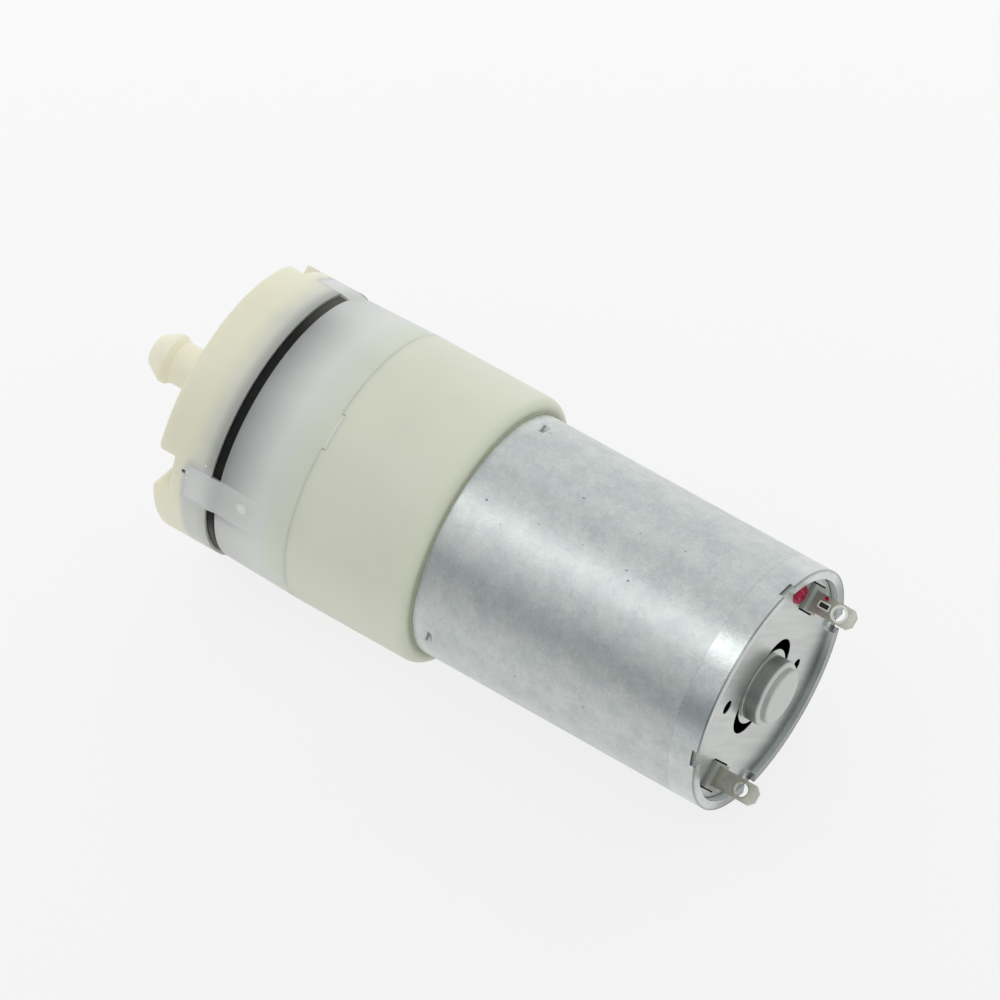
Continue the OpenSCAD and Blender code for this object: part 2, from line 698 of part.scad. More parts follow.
// Two hairpin springs that press the magnets apart
module magnet_clips() color("gray") motor_place() {
  wire_r = clip_wire / 2;
  wire_ring = (magnet_in_r + magnet_out_r) / 2;
  edge = acos((wire_r + fit_gap) / wire_ring) - magnet_span / 2;
  bend_r = wire_ring * sin(edge);
  clip_short = 5.4; // the hairpins stop short of the brush gear
  leg = magnet_len - clip_short;
  for (side = [0, 180]) rotate(side) translate([wire_ring * cos(edge), 0, m_magnet + leg]) {
    for (hand = [-1, 1]) translate([0, hand * bend_r, -leg]) cylinder(h = leg, r = wire_r, $fn = fine_fn);
    rotate([90, 0, 90]) rotate_extrude(angle = 180) translate([bend_r, 0]) circle(r = wire_r, $fn = fine_fn);
  }
}

module shaft() color("silver") rotor_place() {
  chamfer = 0.2;
  low = -shaft_front;
  up(low) cylinder(h = chamfer, d1 = shaft_d - 2 * chamfer, d2 = shaft_d);
  up(low + chamfer) cylinder(h = m_shaft_end - low - chamfer, d = shaft_d);
}

module sleeve(r_out, low, high) ring(shaft_d / 2 + press_gap, r_out, low, high);

// Spacers that keep the stack and the commutator off the bearings
module shaft_spacers() color("white") rotor_place() {
  spacer_r = 1.9;
  sleeve(spacer_r, m_bush + front_bush_len + play, m_core - fit_gap);
  sleeve(spacer_r, m_comm_end + fit_gap, m_bush_end - rear_bush_len - play);
}

// Stack of three-pole laminations
module rotor_core() color("darkgray") rotor_place() up(m_core) linear_extrude(core_len) difference() {
  wedge = 2 * rotor_r;
  union() {
    circle(r = core_hub_r);
    around(poles) {
      translate([0, -stem_w / 2]) square([shoe_in_r + shoe_t / 2, stem_w]);
      intersection() {
        difference() {
          circle(r = rotor_r);
          circle(r = shoe_in_r);
        }
        polygon([[0, 0], for (side = [-1, 1]) wedge * [cos(shoe_span / 2), side * sin(shoe_span / 2)]]);
      }
    }
  }
  circle(r = shaft_d / 2 + press_gap);
}

// Coil round one pole's stem
module winding(turn) color("chocolate") rotor_place() rotate(turn)
  translate([coil_in, 0, m_core + core_len / 2]) rotate([0, 90, 0])
  linear_extrude(coil_top - coil_in) difference() {
    coil_round = 1.6;
    eye_round = 0.2;
    soft_rect([core_len + 2 * coil_over, coil_w], coil_round);
    soft_rect([core_len + 4 * fit_gap, stem_w + 2 * fit_gap], eye_round);
  }
module winding_a() winding(0);
module winding_b() winding(360 / poles);
module winding_c() winding(2 * 360 / poles);

module commutator_hub() color("saddlebrown") rotor_place() {
  collar_t = 0.4;
  sleeve(comm_d / 2 - comm_bar_t - press_gap, m_core_end + fit_gap, m_comm_end);
  sleeve(comm_d / 2, m_comm - collar_t, m_comm - fit_gap);
}

// Three copper bars, each with a riser that its coils are soldered to
module commutator_bars() color("goldenrod") rotor_place() rotate(180 / poles) around(poles) {
  slit = 4;
  riser_w = 1;
  riser_reach = 1.4;
  riser_t = 0.4;
  sector(comm_d / 2 - comm_bar_t, comm_d / 2, m_comm, m_comm_end, 360 / poles - slit);
  translate([comm_d / 2 - comm_bar_t / 2, -riser_w / 2, m_comm])
    cube([comm_bar_t / 2 + riser_reach, riser_w, riser_t]);
}

// Plastic plate inside the end plate, with posts and terminal insulators
module brush_base() color("gray") motor_place() difference() {
  post_len = m_brush_base - terminal_foot;
  post_w = opening_out - opening_in - 0.4; // the posts are slimmer than the openings
  eye_r = island_r + oval_reach + 0.2; // the hole shows no edge through the oval slot
  union() {
    up(m_brush_base) cylinder(h = base_plate_t, r = can_in_r - can_gap);
    for (side = [0, 180]) rotate(side) translate([opening_in, -opening_near, terminal_foot])
      cube([post_w, opening_near, post_len + past]);
    for (hand = [0, 1]) mirror([hand, 0, 0]) translate([opening_in + block_gap, block_gap - opening_far,
      m_brush_base]) cube([opening_out - opening_in - 2 * block_gap,
      opening_near + opening_far - 2 * block_gap, m_plate + block_up - m_brush_base]);
  }
  up(m_brush_base - past) cylinder(h = base_plate_t + 2 * past, r = eye_r);
  for (side = [0, 180]) rotate(side) translate([terminal_r - terminal_w / 2 - press_gap,
    -terminal_t / 2 - press_gap, terminal_foot - past])
    cube([terminal_w + 2 * press_gap, terminal_t + 2 * press_gap, terminal_len + m_plate]);
}

// Flat solder tag with a window and an eyelet
module terminal(side) color("silver") motor_place() rotate(side)
  translate([terminal_r, terminal_t / 2, 0]) rotate([90, 0, 0]) linear_extrude(terminal_t) {
    half = terminal_w / 2;
    tip = m_plate + terminal_len;
    difference() {
      polygon([
        [-half, terminal_foot], [half, terminal_foot], [half, tip - tip_chamfer],
        [half - tip_chamfer, tip], [tip_chamfer - half, tip], [-half, tip - tip_chamfer]
      ]);
      translate([0, tip - eyelet_back]) circle(d = eyelet_d, $fn = fine_fn);
      translate([0, m_plate + window_up]) square([window.x, window.y], center = true);
    }
  }
module terminal_upper() terminal(0);
module terminal_lower() terminal(180);

// Leaf spring from a terminal's foot to its brush
module brush_arm(side) color("darkkhaki") motor_place() rotate(side)
  up(m_brush - (leaf_h - brush_h) / 2) linear_extrude(leaf_h) {
    seat_y = (terminal_t + leaf_t) / 2;
    edge = 0.1; // the leaf stands in from the terminal's edge
    over = 0.3; // and runs past the brush
    bent_strip([
      [terminal_r + terminal_w / 2 - edge, seat_y], [terminal_r - terminal_w / 2 - 2 * edge, seat_y],
      [terminal_r - terminal_w, leaf_y], [-brush_w / 2 - over, leaf_y]
    ], leaf_t);
  }
module brush_arm_upper() brush_arm(0);
module brush_arm_lower() brush_arm(180);

// Carbon brush, hollowed to the commutator
module brush(side) color("black") motor_place() rotate(side) difference() {
  translate([-brush_w / 2, 0, m_brush]) cube([brush_w, leaf_y - leaf_t / 2, brush_h]);
  up(m_brush - past) cylinder(h = brush_h + 2 * past, r = comm_d / 2 + fit_gap);
}
module brush_upper() brush(0);
module brush_lower() brush(180);

// Steel plate with the bearing boss, the oval slot, two round holes and the terminal openings
module end_plate() color("lightgray") motor_place() difference() {
  vent = [3.1, 5.8];
  groove_w = 0.12; // stamped line round the island
  groove_depth = 0.2;
  shoulder = 0.35;
  top_round = 0.2;
  oval_len = 2 * (island_r + oval_reach);
  union() {
    up(m_plate_in) cylinder(h = plate_t, r = can_in_r - fit_gap);
    high_round(boss_d / 2, m_plate - plate_t / 2, m_boss, shoulder);
    high_round(boss_top_d / 2, m_boss - shoulder, m_boss + boss_top_h, top_round);
  }
  up(m_plate_in - past) cylinder(h = m_bush_end - m_plate_in + past, d = bush_d + 2 * press_gap);
  difference() {
    up(m_plate_in - past) linear_extrude(plate_t + 2 * past) {
      square([oval_len - oval_w, oval_w], center = true);
      for (side = [-1, 1]) translate([side * (oval_len - oval_w) / 2, 0]) circle(d = oval_w);
    }
    up(m_plate_in - 2 * past) cylinder(h = plate_t + 4 * past, r = island_r);
  }
  ring(island_r, island_r + groove_w, m_plate - groove_depth, m_plate + past);
  for (side = [0, 180]) rotate(side) translate([-vent.x, vent.y, m_plate_in - past])
    cylinder(h = plate_t + 2 * past, d = vent_d, $fn = fine_fn);
  for (hand = [0, 1]) mirror([hand, 0, 0]) translate([opening_in, -opening_far, m_plate_in - past])
    cube([opening_out - opening_in, opening_near + opening_far, plate_t + 2 * past]);
}

// Inclined steel pin, pressed into the wheel and running in the hub
module drive_pin() color("silver") wobble_place() {
  chamfer = 0.15;
  up(-pin_head - pin_len) cylinder(h = pin_len - chamfer, d = pin_d, $fn = fine_fn);
  up(-pin_head - chamfer) cylinder(h = chamfer, d1 = pin_d, d2 = pin_d - 2 * chamfer, $fn = fine_fn);
}

// Three-armed plate with a blind hub on the drive pin
module wobble_plate() color("white") wobble_place() difference() {
  cap_up = 0.9;
  rib_w = 0.9;
  rib_h = 1;
  union() {
    up(-hub_len) cylinder(h = hub_len + cap_up, d = hub_d);
    around(cups) {
      out(cup_ring_r) up(-wobble_top - wobble_t) cylinder(h = wobble_t, d = pad_d);
      translate([0, -wobble_arm_w / 2, -wobble_top - wobble_t]) cube([cup_ring_r, wobble_arm_w, wobble_t]);
      translate([0, -rib_w / 2, -wobble_top - wobble_t - rib_h])
        cube([cup_ring_r - pad_d / 2, rib_w, rib_h + wobble_t / 2]);
    }
  }
  up(-hub_len - past) cylinder(h = hub_len + past, r = pin_d / 2 + run_gap, $fn = fine_fn);
  around(cups) out(cup_ring_r) up(-wobble_top - wobble_t - past)
    cylinder(h = wobble_t + 2 * past, r = stem_d / 2 + fit_gap, $fn = fine_fn);
}

// Moulded crank wheel with a counterweight on the side away from the pin
module eccentric_wheel() color("whitesmoke") {
  pocket_rim = 1;
  pocket_web = 0.4;
  pocket_span = 130;
  pin_lean = (u_pivot - (wheel_top + pin_foot) / 2) * tan(tilt);
  difference() {
    head_place() rotate(cup_turn) {
      up(wheel_low) cylinder(h = wheel_t, r = wheel_r);
      out(pin_lean) up(wheel_low) cylinder(h = wheel_top - wheel_low, d = wheel_boss_d);
    }
    head_place() rotate(cup_turn) difference() {
      sector(wheel_boss_d / 2 + pin_lean + pocket_web, wheel_r - pocket_rim, wheel_low - past,
        wheel_low + wheel_t + past, pocket_span);
      out(pin_lean) up(wheel_low) cylinder(h = wheel_t, d = wheel_boss_d);
    }
    head_place() up(wheel_low - past) cylinder(h = shaft_front - wheel_low + past,
      r = shaft_d / 2 + press_gap);
    wobble_place() up(-pin_head - pin_len) cylinder(h = pin_len, r = pin_d / 2 + press_gap, $fn = fine_fn);
  }
}

head_cover();
outlet_valve();
valve_plate();
inlet_valves();
diaphragm();
diaphragm_holder();
wobble_plate();
drive_pin();
eccentric_wheel();
base_housing();
motor_screws();
motor_can();
front_bearing();
magnet_left();
magnet_right();
magnet_clips();
shaft();
shaft_spacers();
rotor_core();
winding_a();
winding_b();
winding_c();
commutator_hub();
commutator_bars();
brush_base();
brush_arm_upper();
brush_arm_lower();
brush_upper();
brush_lower();
terminal_upper();
terminal_lower();
end_plate();
rear_bearing();
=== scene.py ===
import json
import math
import random
import bmesh
import bpy
from mathutils import Matrix, Vector


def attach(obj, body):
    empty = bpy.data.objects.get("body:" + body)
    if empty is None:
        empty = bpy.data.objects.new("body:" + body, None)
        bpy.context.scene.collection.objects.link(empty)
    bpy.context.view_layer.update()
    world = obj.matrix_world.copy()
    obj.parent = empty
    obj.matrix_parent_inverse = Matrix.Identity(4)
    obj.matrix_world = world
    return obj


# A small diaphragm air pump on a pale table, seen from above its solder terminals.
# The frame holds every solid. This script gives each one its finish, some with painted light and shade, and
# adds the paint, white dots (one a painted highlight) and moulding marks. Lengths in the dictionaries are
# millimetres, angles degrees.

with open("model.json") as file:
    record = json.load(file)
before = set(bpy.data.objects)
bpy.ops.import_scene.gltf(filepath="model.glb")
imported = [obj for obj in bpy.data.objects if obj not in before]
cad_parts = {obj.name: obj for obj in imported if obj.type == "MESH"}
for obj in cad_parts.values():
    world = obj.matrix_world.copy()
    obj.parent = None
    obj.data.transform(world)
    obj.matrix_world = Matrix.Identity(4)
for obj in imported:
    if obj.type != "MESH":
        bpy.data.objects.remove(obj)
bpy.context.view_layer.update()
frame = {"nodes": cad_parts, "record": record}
mm = 0.001
headTurn = 31  # degrees from straight up to the side that faces the camera
print("frame loaded")


class Wire:  # one socket, so that sums on values can be written as sums
    def __init__(self, finish, socket):
        self.finish = finish
        self.socket = socket

    def math(self, operation, *others):
        return self.finish.add("ShaderNodeMath", {"operation": operation},
                               dict(enumerate((self, *others))))

    def __add__(self, other):
        return self.math("ADD", other)

    def __sub__(self, other):
        return self.math("SUBTRACT", other)

    def __mul__(self, other):
        return self.math("MULTIPLY", other)

    def __truediv__(self, other):
        return self.math("DIVIDE", other)

    def __pow__(self, other):
        return self.math("POWER", other)

    def __rsub__(self, other):
        return self.finish.add("ShaderNodeMath", {"operation": "SUBTRACT"}, {0: other, 1: self})

    __radd__ = __add__
    __rmul__ = __mul__


class Finish:  # one node tree, with the node patterns that the pump's materials share
    def __init__(self, name, owner=None):
        self.owner = owner or bpy.data.materials.new(name)
        self.owner.use_nodes = True
        self.tree = self.owner.node_tree
        self.tree.nodes.clear()

    def add(self, kind, settings=None, inputs=None, output=0):
        node = self.tree.nodes.new(kind)
        for key, value in (settings or {}).items():
            setattr(node, key, value)
        for key, value in (inputs or {}).items():
            if isinstance(value, Wire):
                self.tree.links.new(value.socket, node.inputs[key])
            else:
                node.inputs[key].default_value = value
        return Wire(self, node.outputs[output]) if node.outputs else None

    def place(self, stretch=(1, 1, 1)):  # the point on the piece, in millimetres
        point = self.add("ShaderNodeTexCoord", output="Object")
        return self.add("ShaderNodeVectorMath", {"operation": "MULTIPLY"},
                        {0: point, 1: [axis / mm for axis in stretch]})

    def axes(self, point):
        return [self.add("ShaderNodeSeparateXYZ", None, {0: point}, axis) for axis in "XYZ"]

    def turn(self, y, z):  # degrees round the pump's axis, from the camera's side downwards
        return (y * -1.0).math("ARCTAN2", z) * math.degrees(1) - headTurn

    def along(self, point, direction):  # distance of the point along a direction
        return self.add("ShaderNodeVectorMath", {"operation": "DOT_PRODUCT"},
                        {0: point, 1: direction}, "Value")

    def away(self, point, place):  # distance of the point from a place
        return self.add("ShaderNodeVectorMath", {"operation": "DISTANCE"}, {0: point, 1: place}, "Value")

    def noise(self, point, scale, detail=2, rough=0.5):
        return self.add("ShaderNodeTexNoise", None,
                        {"Vector": point, "Scale": scale, "Detail": detail, "Roughness": rough}, "Fac")

    def cells(self, point, scale, output="Distance"):
        return self.add("ShaderNodeTexVoronoi", None, {"Vector": point, "Scale": scale}, output)

    def ramp(self, value, start, end, low=0.0, high=1.0):  # a smooth step between two values
        return self.add("ShaderNodeMapRange", {"interpolation_type": "SMOOTHSTEP"},
                        {"Value": value, "From Min": start, "From Max": end,
                         "To Min": low, "To Max": high})

    def band(self, value, centre, half, soft):  # 1 within a band, 0 outside it
        return self.ramp((value - centre).math("ABSOLUTE"), half, half + soft, 1.0, 0.0)

    def mix(self, factor, first, second):
        return self.add("ShaderNodeMix", {"data_type": "RGBA"}, {0: factor, 6: first, 7: second}, 2)

    def dim(self, paint, factor):  # a colour times a value
        return self.add("ShaderNodeVectorMath", {"operation": "SCALE"},
                        {0: paint if isinstance(paint, Wire) else paint[:3], 3: factor})

    def bump(self, height, strength, depth):  # depth in millimetres
        return self.add("ShaderNodeBump", None,
                        {"Height": height, "Strength": strength, "Distance": depth * mm}, "Normal")

    def shader(self, **inputs):
        named = {key.replace("_", " "): value for key, value in inputs.items()}
        body = self.add("ShaderNodeBsdfPrincipled", None, named)
        self.add("ShaderNodeOutputMaterial", None, {"Surface": body})
        return self.owner


def tint(code):  # a screen colour such as e6e3d2 as the shader's linear value
    parts = [int(code[i:i + 2], 16) / 255 for i in (0, 2, 4)]
    return [((c + 0.055) / 1.055) ** 2.4 if c > 0.04045 else c / 12.92 for c in parts] + [1]


# Camera, table, lamps and room
view = {
    "target": (-1.61, 4.32, -1.0),
    "distance": 950,
    "azimuth": 34.505,
    "elevation": 53.9,
    "lens": 378,
}


def aimed(place, target):  # a matrix at a place, looking at a target
    back = (place - target).normalized()
    return Matrix.Translation(place) @ back.to_track_quat("Z", "Y").to_matrix().to_4x4()


def lookingFrom(azimuth, elevation):
    a, e = math.radians(azimuth), math.radians(elevation)
    return Vector((math.cos(e) * math.sin(a), -math.cos(e) * math.cos(a), math.sin(e)))


cameraData = bpy.data.cameras.new("camera")
cameraData.lens = view["lens"]
camera = bpy.data.objects.new("camera", cameraData)
bpy.context.scene.collection.objects.link(camera)
target = Vector(view["target"]) * mm
eye = target + lookingFrom(view["azimuth"], view["elevation"]) * view["distance"] * mm
camera.matrix_world = aimed(eye, target)
bpy.context.scene.camera = camera
bpy.context.scene.view_settings.view_transform = "Standard"

table = {
    "lip": (-1.0, -13.5),  # where the head's rear lip stands on it, along and up
    "rim": (30.5, -12.1),  # where the can's rear rim stands on it
    "size": 6000,
    "paint": "f2f2f2",
    "seen": 0.86,  # share of the table's own light in what the camera sees
    "glow": 0.945,
    "glowTint": "fefefe",
    "back": (-0.57, 0.82, 0),  # level, away from the camera
    "rise": 0.0004,  # it grows brighter that way, per millimetre
}


def backdrop(name, corners, material):
    mesh = bpy.data.meshes.new(name)
    mesh.from_pydata([Vector(corner) * mm for corner in corners], [], [range(len(corners))])
    mesh.materials.append(material)
    plane = bpy.data.objects.new(name, mesh)
    bpy.context.scene.collection.objects.link(plane)
    return plane


def seenDirectly(finish):  # 1 for what the camera, a mirror or glass shows
    rays = [finish.add("ShaderNodeLightPath", output=ray)
            for ray in ("Is Camera Ray", "Is Glossy Ray", "Is Transmission Ray")]
    return (rays[0] + rays[1] + rays[2]).math("MINIMUM", 1.0)


def tableFinish():
    f = Finish("table")
    cloth = f.add("ShaderNodeBsdfDiffuse", None, {"Color": tint(table["paint"])})
    back = f.along(f.place(), table["back"])
    glow = f.add("ShaderNodeEmission", None,
                 {"Color": tint(table["glowTint"]), "Strength": back * table["rise"] + table["glow"]})
    both = f.add("ShaderNodeMixShader", None, {0: seenDirectly(f) * table["seen"], 1: cloth, 2: glow})
    f.add("ShaderNodeOutputMaterial", None, {"Surface": both})
    return f.owner


half = table["size"] / 2
(x0, z0), (x1, z1) = table["lip"], table["rim"]
slope = (z1 - z0) / (x1 - x0)
backdrop("table", [(x, y, z0 + (x - x0) * slope)
                   for x, y in ((-half, -half), (half, -half), (half, half), (-half, half))], tableFinish())

room = {
    "light": 0.84,  # what the walls give the object
    "seen": 0.85,  # how bright they look in the metal
    "tone": "f6f8f9",
}
world = bpy.data.worlds.new("room")
bpy.context.scene.world = world
walls = Finish("room", world)
toEye = seenDirectly(walls)
level = toEye * room["seen"] + (1.0 - toEye) * room["light"]
shine = walls.add("ShaderNodeBackground", None, {"Color": tint(room["tone"]), "Strength": level})
walls.add("ShaderNodeOutputWorld", None, {"Surface": shine})

lamps = {
    "overhead": {"place": (-330, -300, 900), "size": 420, "watts": 0.68, "mirrored": True},
    "window": {"place": (-100, 900, 700), "size": 900, "watts": 2.6, "mirrored": False},
    "fill": {"place": (150, -900, 120), "size": 900, "watts": 1.7, "mirrored": False},
}
for name, lamp in lamps.items():
    data = bpy.data.lights.new(name, "AREA")
    data.shape = "DISK"
    data.size = lamp["size"] * mm
    data.energy = lamp["watts"]
    light = bpy.data.objects.new(name, data)
    bpy.context.scene.collection.objects.link(light)
    light.matrix_world = aimed(Vector(lamp["place"]) * mm, Vector((0, 0, 0)))
    light.visible_glossy = lamp["mirrored"]

flag = {  # a grey card in front of the object, which its metal mirrors
    "paint": "a8abae",
    "grain": 0.02,
    "near": -620,
    "sides": (-1100, 500),
    "edges": (-60, 330),  # lower and upper
}


def flagFinish():
    f = Finish("flag")
    grain = f.noise(f.place(), flag["grain"])
    body = f.add("ShaderNodeBsdfDiffuse", None, {"Color": f.dim(tint(flag["paint"]), grain * 0.2 + 0.9)})
    f.add("ShaderNodeOutputMaterial", None, {"Surface": body})
    return f.owner


(left, right), (low, high) = flag["sides"], flag["edges"]
outline = [(x, flag["near"], z) for x, z in ((left, low), (right, low), (right, high), (left, high))]
card = backdrop("flag", outline, flagFinish())
card.visible_camera = False
card.visible_shadow = False
print("camera, table and lamps ready")


# Plastics of the head. They are a little translucent, so the dark rubber darkens them beside the slot; that
# grey is painted shade.
# Turns are degrees round the axis, from the side that faces the camera, and pairs are where a
# change begins and ends
heights = {"slot": -20.8, "ring": -21.75, "split": -12.9}
underside = (110, 140)  # a mark that belongs to the near flank alone fades out here
capLook = {
    "cream": "e2dfc9",
    "warm": "f1ebd5",  # the nozzle and the inner face
    "warmRadii": (3.4, 5.0),
    # painted shade: the grey where the rubber darkens the translucent cap
    "rubberShade": "c6c7bf",
    "rubberShadeRadii": (9, 12),
    "nearTurns": (29.5, 35.5),  # from here on the painted shade beside the slot ends sharply
    "line": 2.62,  # its width there
    "lineSoft": 0.45,
    "fade": 3.3,  # and where it fades
    # painted shade, darker still at the slot's edge
    "edge": "949791",
    "slotShadeFade": 1.3,
    "pick": "9a9a9c",  # painted shade in the release slot at the arm's end
    "pickPlace": (-24.575, -12.41, 4.64),
    "pickReach": (0.2, 0.5),
    "pickRadii": (13.36, 13.42),
    "notch": -26.6,  # painted light on the notches' walls: their middle along the axis
    "notchHalf": 0.85,
    "notchRadii": (13.3, 13.42),
    "rough": 0.38,
}
holderLook = {
    "milk": "d2d3cf",
    "low": "ced2c2",  # beside the parting line
    "lowFade": 4.2,
    "edge": "7b7f7e",  # painted shade beside the slot, where the rubber darkens the plastic
    "slotShadeFade": 4.5,
    "behind": 2.2,  # the painted shade also fades behind the slot
    "arm": (43, 7.7, 1.2),  # the painted shade is weaker on the near arm: turn, half width, softness
    "nearTurns": ((-62, -38), (50, 56)),  # between these the painted shade is at its strongest
    "pip": "e4e5e0",  # a painted highlight on the arm's pip, over the shade at its wall
    "pipPlace": (-18.05, -12.74, 4.14),
    "pipReach": (0.25, 0.85),
    "keyHighlight": "d8dacb",  # painted highlight on the keys that reach into the base
    "keys": (0.04, 0.1),
    "rough": 0.4,
}
baseLook = {
    "body": "d3d5c3",
    # painted shade on the lip, towards the can
    "lipShade": "cfd2bf",
    "lipFade": 1.4,
    "rootShade": "9fa287",  # painted shade where the lip meets the can
    "rootRadii": (12.2, 12.95),
    "seamShade": "b7b9a6",
    "seam": 0.07,
    "rough": 0.42,
}
flank = (0, -0.857, -0.515)  # from the axis to the side that faces the front of the table
flankLight = {  # painted light: the flanks are lighter, by the distance from the axis
    "near": (8, 12.5),
    "nearShare": 0.1,
    "far": (-8, -12.5),
    "farShare": 0.05,
}
skinGlow = {"share": 0.35, "radius": (1.0, 0.95, 0.75), "scale": 1.4}  # light that passes through


def moulded(f, point, paint, rough):  # the shared skin of the milky plastics
    cloud = f.noise(point, 0.16, 3)
    fine = f.noise(point, 9, 2)
    side = f.along(point, flank)
    # random tone, with painted light on the flanks
    paint = f.dim(paint, cloud * 0.10 + fine * 0.03
                  + f.ramp(side, *flankLight["near"]) * flankLight["nearShare"]
                  + f.ramp(side, *flankLight["far"]) * flankLight["farShare"] + 0.935)
    skin = f.noise(point, 3.2, 3) * 0.7 + fine * 0.3
    return f.shader(Base_Color=paint, Roughness=cloud * 0.12 + fine * 0.06 + (rough - 0.09), IOR=1.49,
                    Subsurface_Weight=skinGlow["share"], Subsurface_Radius=skinGlow["radius"],
                    Subsurface_Scale=skinGlow["scale"] * mm, Normal=f.bump(skin, 0.22, 0.03))


def capFinish():
    f = Finish("creamPlastic")
    point = f.place()
    x, y, z = f.axes(point)
    radius = (y * y + z * z) ** 0.5
    away = heights["ring"] - x
    turn = f.turn(y, z)
    drift = f.noise(point, 0.35, 2) * 1.2 - 0.6  # so that no edge of a shade is quite straight
    inner = f.ramp(radius, *capLook["warmRadii"], 1.0, 0.0)
    paint = f.mix(inner, tint(capLook["cream"]), tint(capLook["warm"]))
    # painted shade beside the slot: a sharp line on the near flank, a soft fade elsewhere, darkest at the
    # edge
    nearSide = f.ramp(turn, *capLook["nearTurns"]) * f.ramp(turn, *underside, 1.0, 0.0)
    line, lineSoft = capLook["line"], capLook["lineSoft"]
    sharp = f.ramp(away + drift * 0.12, line - lineSoft, line + lineSoft, 1.0, 0.0)
    soft = f.ramp(away + drift, 0.2, capLook["fade"], 0.95, 0.0)
    rubberShade = (sharp * nearSide + soft * (1.0 - nearSide)) * f.ramp(radius, *capLook["rubberShadeRadii"])
    paint = f.mix(rubberShade, paint, tint(capLook["rubberShade"]))
    edge = f.ramp(away, 0.0, capLook["slotShadeFade"], 0.85, 0.0) * (1.0 - nearSide * 0.6)
    paint = f.mix(edge, paint, tint(capLook["edge"]))
    # painted shade in the release slot
    pick = f.ramp(f.away(point, capLook["pickPlace"]), *capLook["pickReach"], 0.9, 0.0)
    pick = pick * f.ramp(radius, *capLook["pickRadii"], 1.0, 0.0)
    paint = f.mix(pick, paint, tint(capLook["pick"]))
    # painted light on the notches' walls
    notchLight = (f.ramp(radius, *capLook["notchRadii"], 1.0, 0.0)
               * f.band(x, capLook["notch"], capLook["notchHalf"], 0.05))
    paint = f.dim(paint, notchLight * 0.08 + 1.0)
    return moulded(f, point, paint, capLook["rough"])


def holderFinish():
    f = Finish("milkyPlastic")
    point = f.place()
    x, y, z = f.axes(point)
    drift = f.noise(point, 0.3, 2) * 1.6 - 0.8
    low = f.ramp(heights["split"] - x + drift, 0.0, holderLook["lowFade"], 1.0, 0.0)
    paint = f.mix(low, tint(holderLook["milk"]), tint(holderLook["low"]))
    turn = f.turn(y, z)
    # painted shade beside the slot, weaker on the near arm
    nearSlot = (1.0 - (x - heights["slot"] + drift * 0.3) / holderLook["slotShadeFade"]).math("MAXIMUM", 0.0)
    arm = f.band(turn, *holderLook["arm"])
    above, below = holderLook["nearTurns"]
    facing = f.ramp(turn, *above) * f.ramp(turn, *below, 1.0, 0.0)
    halo = nearSlot.math("MINIMUM", 1.0) ** 1.3 * 0.85 * (1.0 - arm * 0.6) * (facing * 0.64 + 0.36)
    behind = f.ramp(x, heights["slot"] - holderLook["behind"], heights["slot"], 0.0, 1.0)
    paint = f.mix(halo * behind, paint, tint(holderLook["edge"]))
    # painted highlight on the pip
    pip = f.ramp(f.away(point, holderLook["pipPlace"]), *holderLook["pipReach"], 0.6, 0.0)
    paint = f.mix(pip, paint, tint(holderLook["pip"]))
    paint = f.mix(f.band(x, heights["split"], 0.02, 0.08) * 0.15, paint, tint(baseLook["seamShade"]))
    # painted highlight on the keys
    keys = f.ramp(x, *(heights["split"] + depth for depth in holderLook["keys"]))
    paint = f.mix(keys, paint, tint(holderLook["keyHighlight"]))
    return moulded(f, point, paint, holderLook["rough"])


def baseFinish():
    f = Finish("basePlastic")
    point = f.place()
    x, y, z = f.axes(point)
    drift = f.noise(point, 0.4, 2) * 0.8 - 0.4
    # painted shade on the lip and where it meets the can
    paint = f.mix(f.ramp(x + drift, -baseLook["lipFade"], -0.3), tint(baseLook["body"]),
                  tint(baseLook["lipShade"]))
    radius = (y * y + z * z) ** 0.5
    root = f.ramp(radius, *baseLook["rootRadii"], 0.8, 0.0) * f.ramp(x, -1.0, -0.3)
    paint = f.mix(root, paint, tint(baseLook["rootShade"]))
    paint = f.mix(f.ramp(x, heights["split"] + baseLook["seam"], heights["split"], 0.0, 0.25), paint,
                  tint(baseLook["seamShade"]))
    return moulded(f, point, paint, baseLook["rough"])


def plainPlastic(name, look):  # the mouldings that stay inside
    f = Finish(name)
    point = f.place()
    swirl = f.noise(point, look["swirl"], 3)
    paint = f.mix(swirl, tint(look["paint"]), tint(look["second"]))
    if "unlit" in look:  # painted shade and brush dust: in front of the plate, where it lies unlit, it is black
        paint = f.mix(f.ramp(f.axes(point)[0], look["unlit"] - 0.06, look["unlit"], 1.0, 0.0), paint,
                      tint(look["shade_and_dust"]))
    return f.shader(Base_Color=paint, Roughness=swirl * 0.2 + look["rough"],
                    Normal=f.bump(f.noise(point, 6, 2), 0.3, 0.03))


plastics = {
    "pale_plastic": {"paint": "d5d3c4", "second": "c9c8ba", "swirl": 0.3, "rough": 0.35},
    "grey_plastic": {"paint": "8b8d89", "second": "9a9c96", "swirl": 0.8, "rough": 0.4,
                     "unlit": 29.62, "shade_and_dust": "0c0c0c"},
    "brown_plastic": {"paint": "5a3b24", "second": "442a18", "swirl": 1.2, "rough": 0.4},
    "carbon": {"paint": "2b2b2c", "second": "3a3a3b", "swirl": 3, "rough": 0.5},
    "ferrite": {"paint": "3a3a3c", "second": "4a4b4d", "swirl": 2, "rough": 0.5},
    # painted shade: olive, for the bead in the lip's joint
    "joint_shade": {"paint": "acaf94", "second": "9fa287", "swirl": 1, "rough": 0.5},
    "flash": {"paint": "d9dbca", "second": "d2d4c3", "swirl": 1, "rough": 0.45},
    "arm_flash": {"paint": "d2d3cf", "second": "cdcecb", "swirl": 1, "rough": 0.42},
}


# Dust and painted sheen on the edge that shows in the slot: along its middle on the near flank, all over on
# the far one
dust_and_sheen = {"nearTurns": (54, 66), "farTurns": (-30, -66), "middle": 0.55, "share": 0.7}


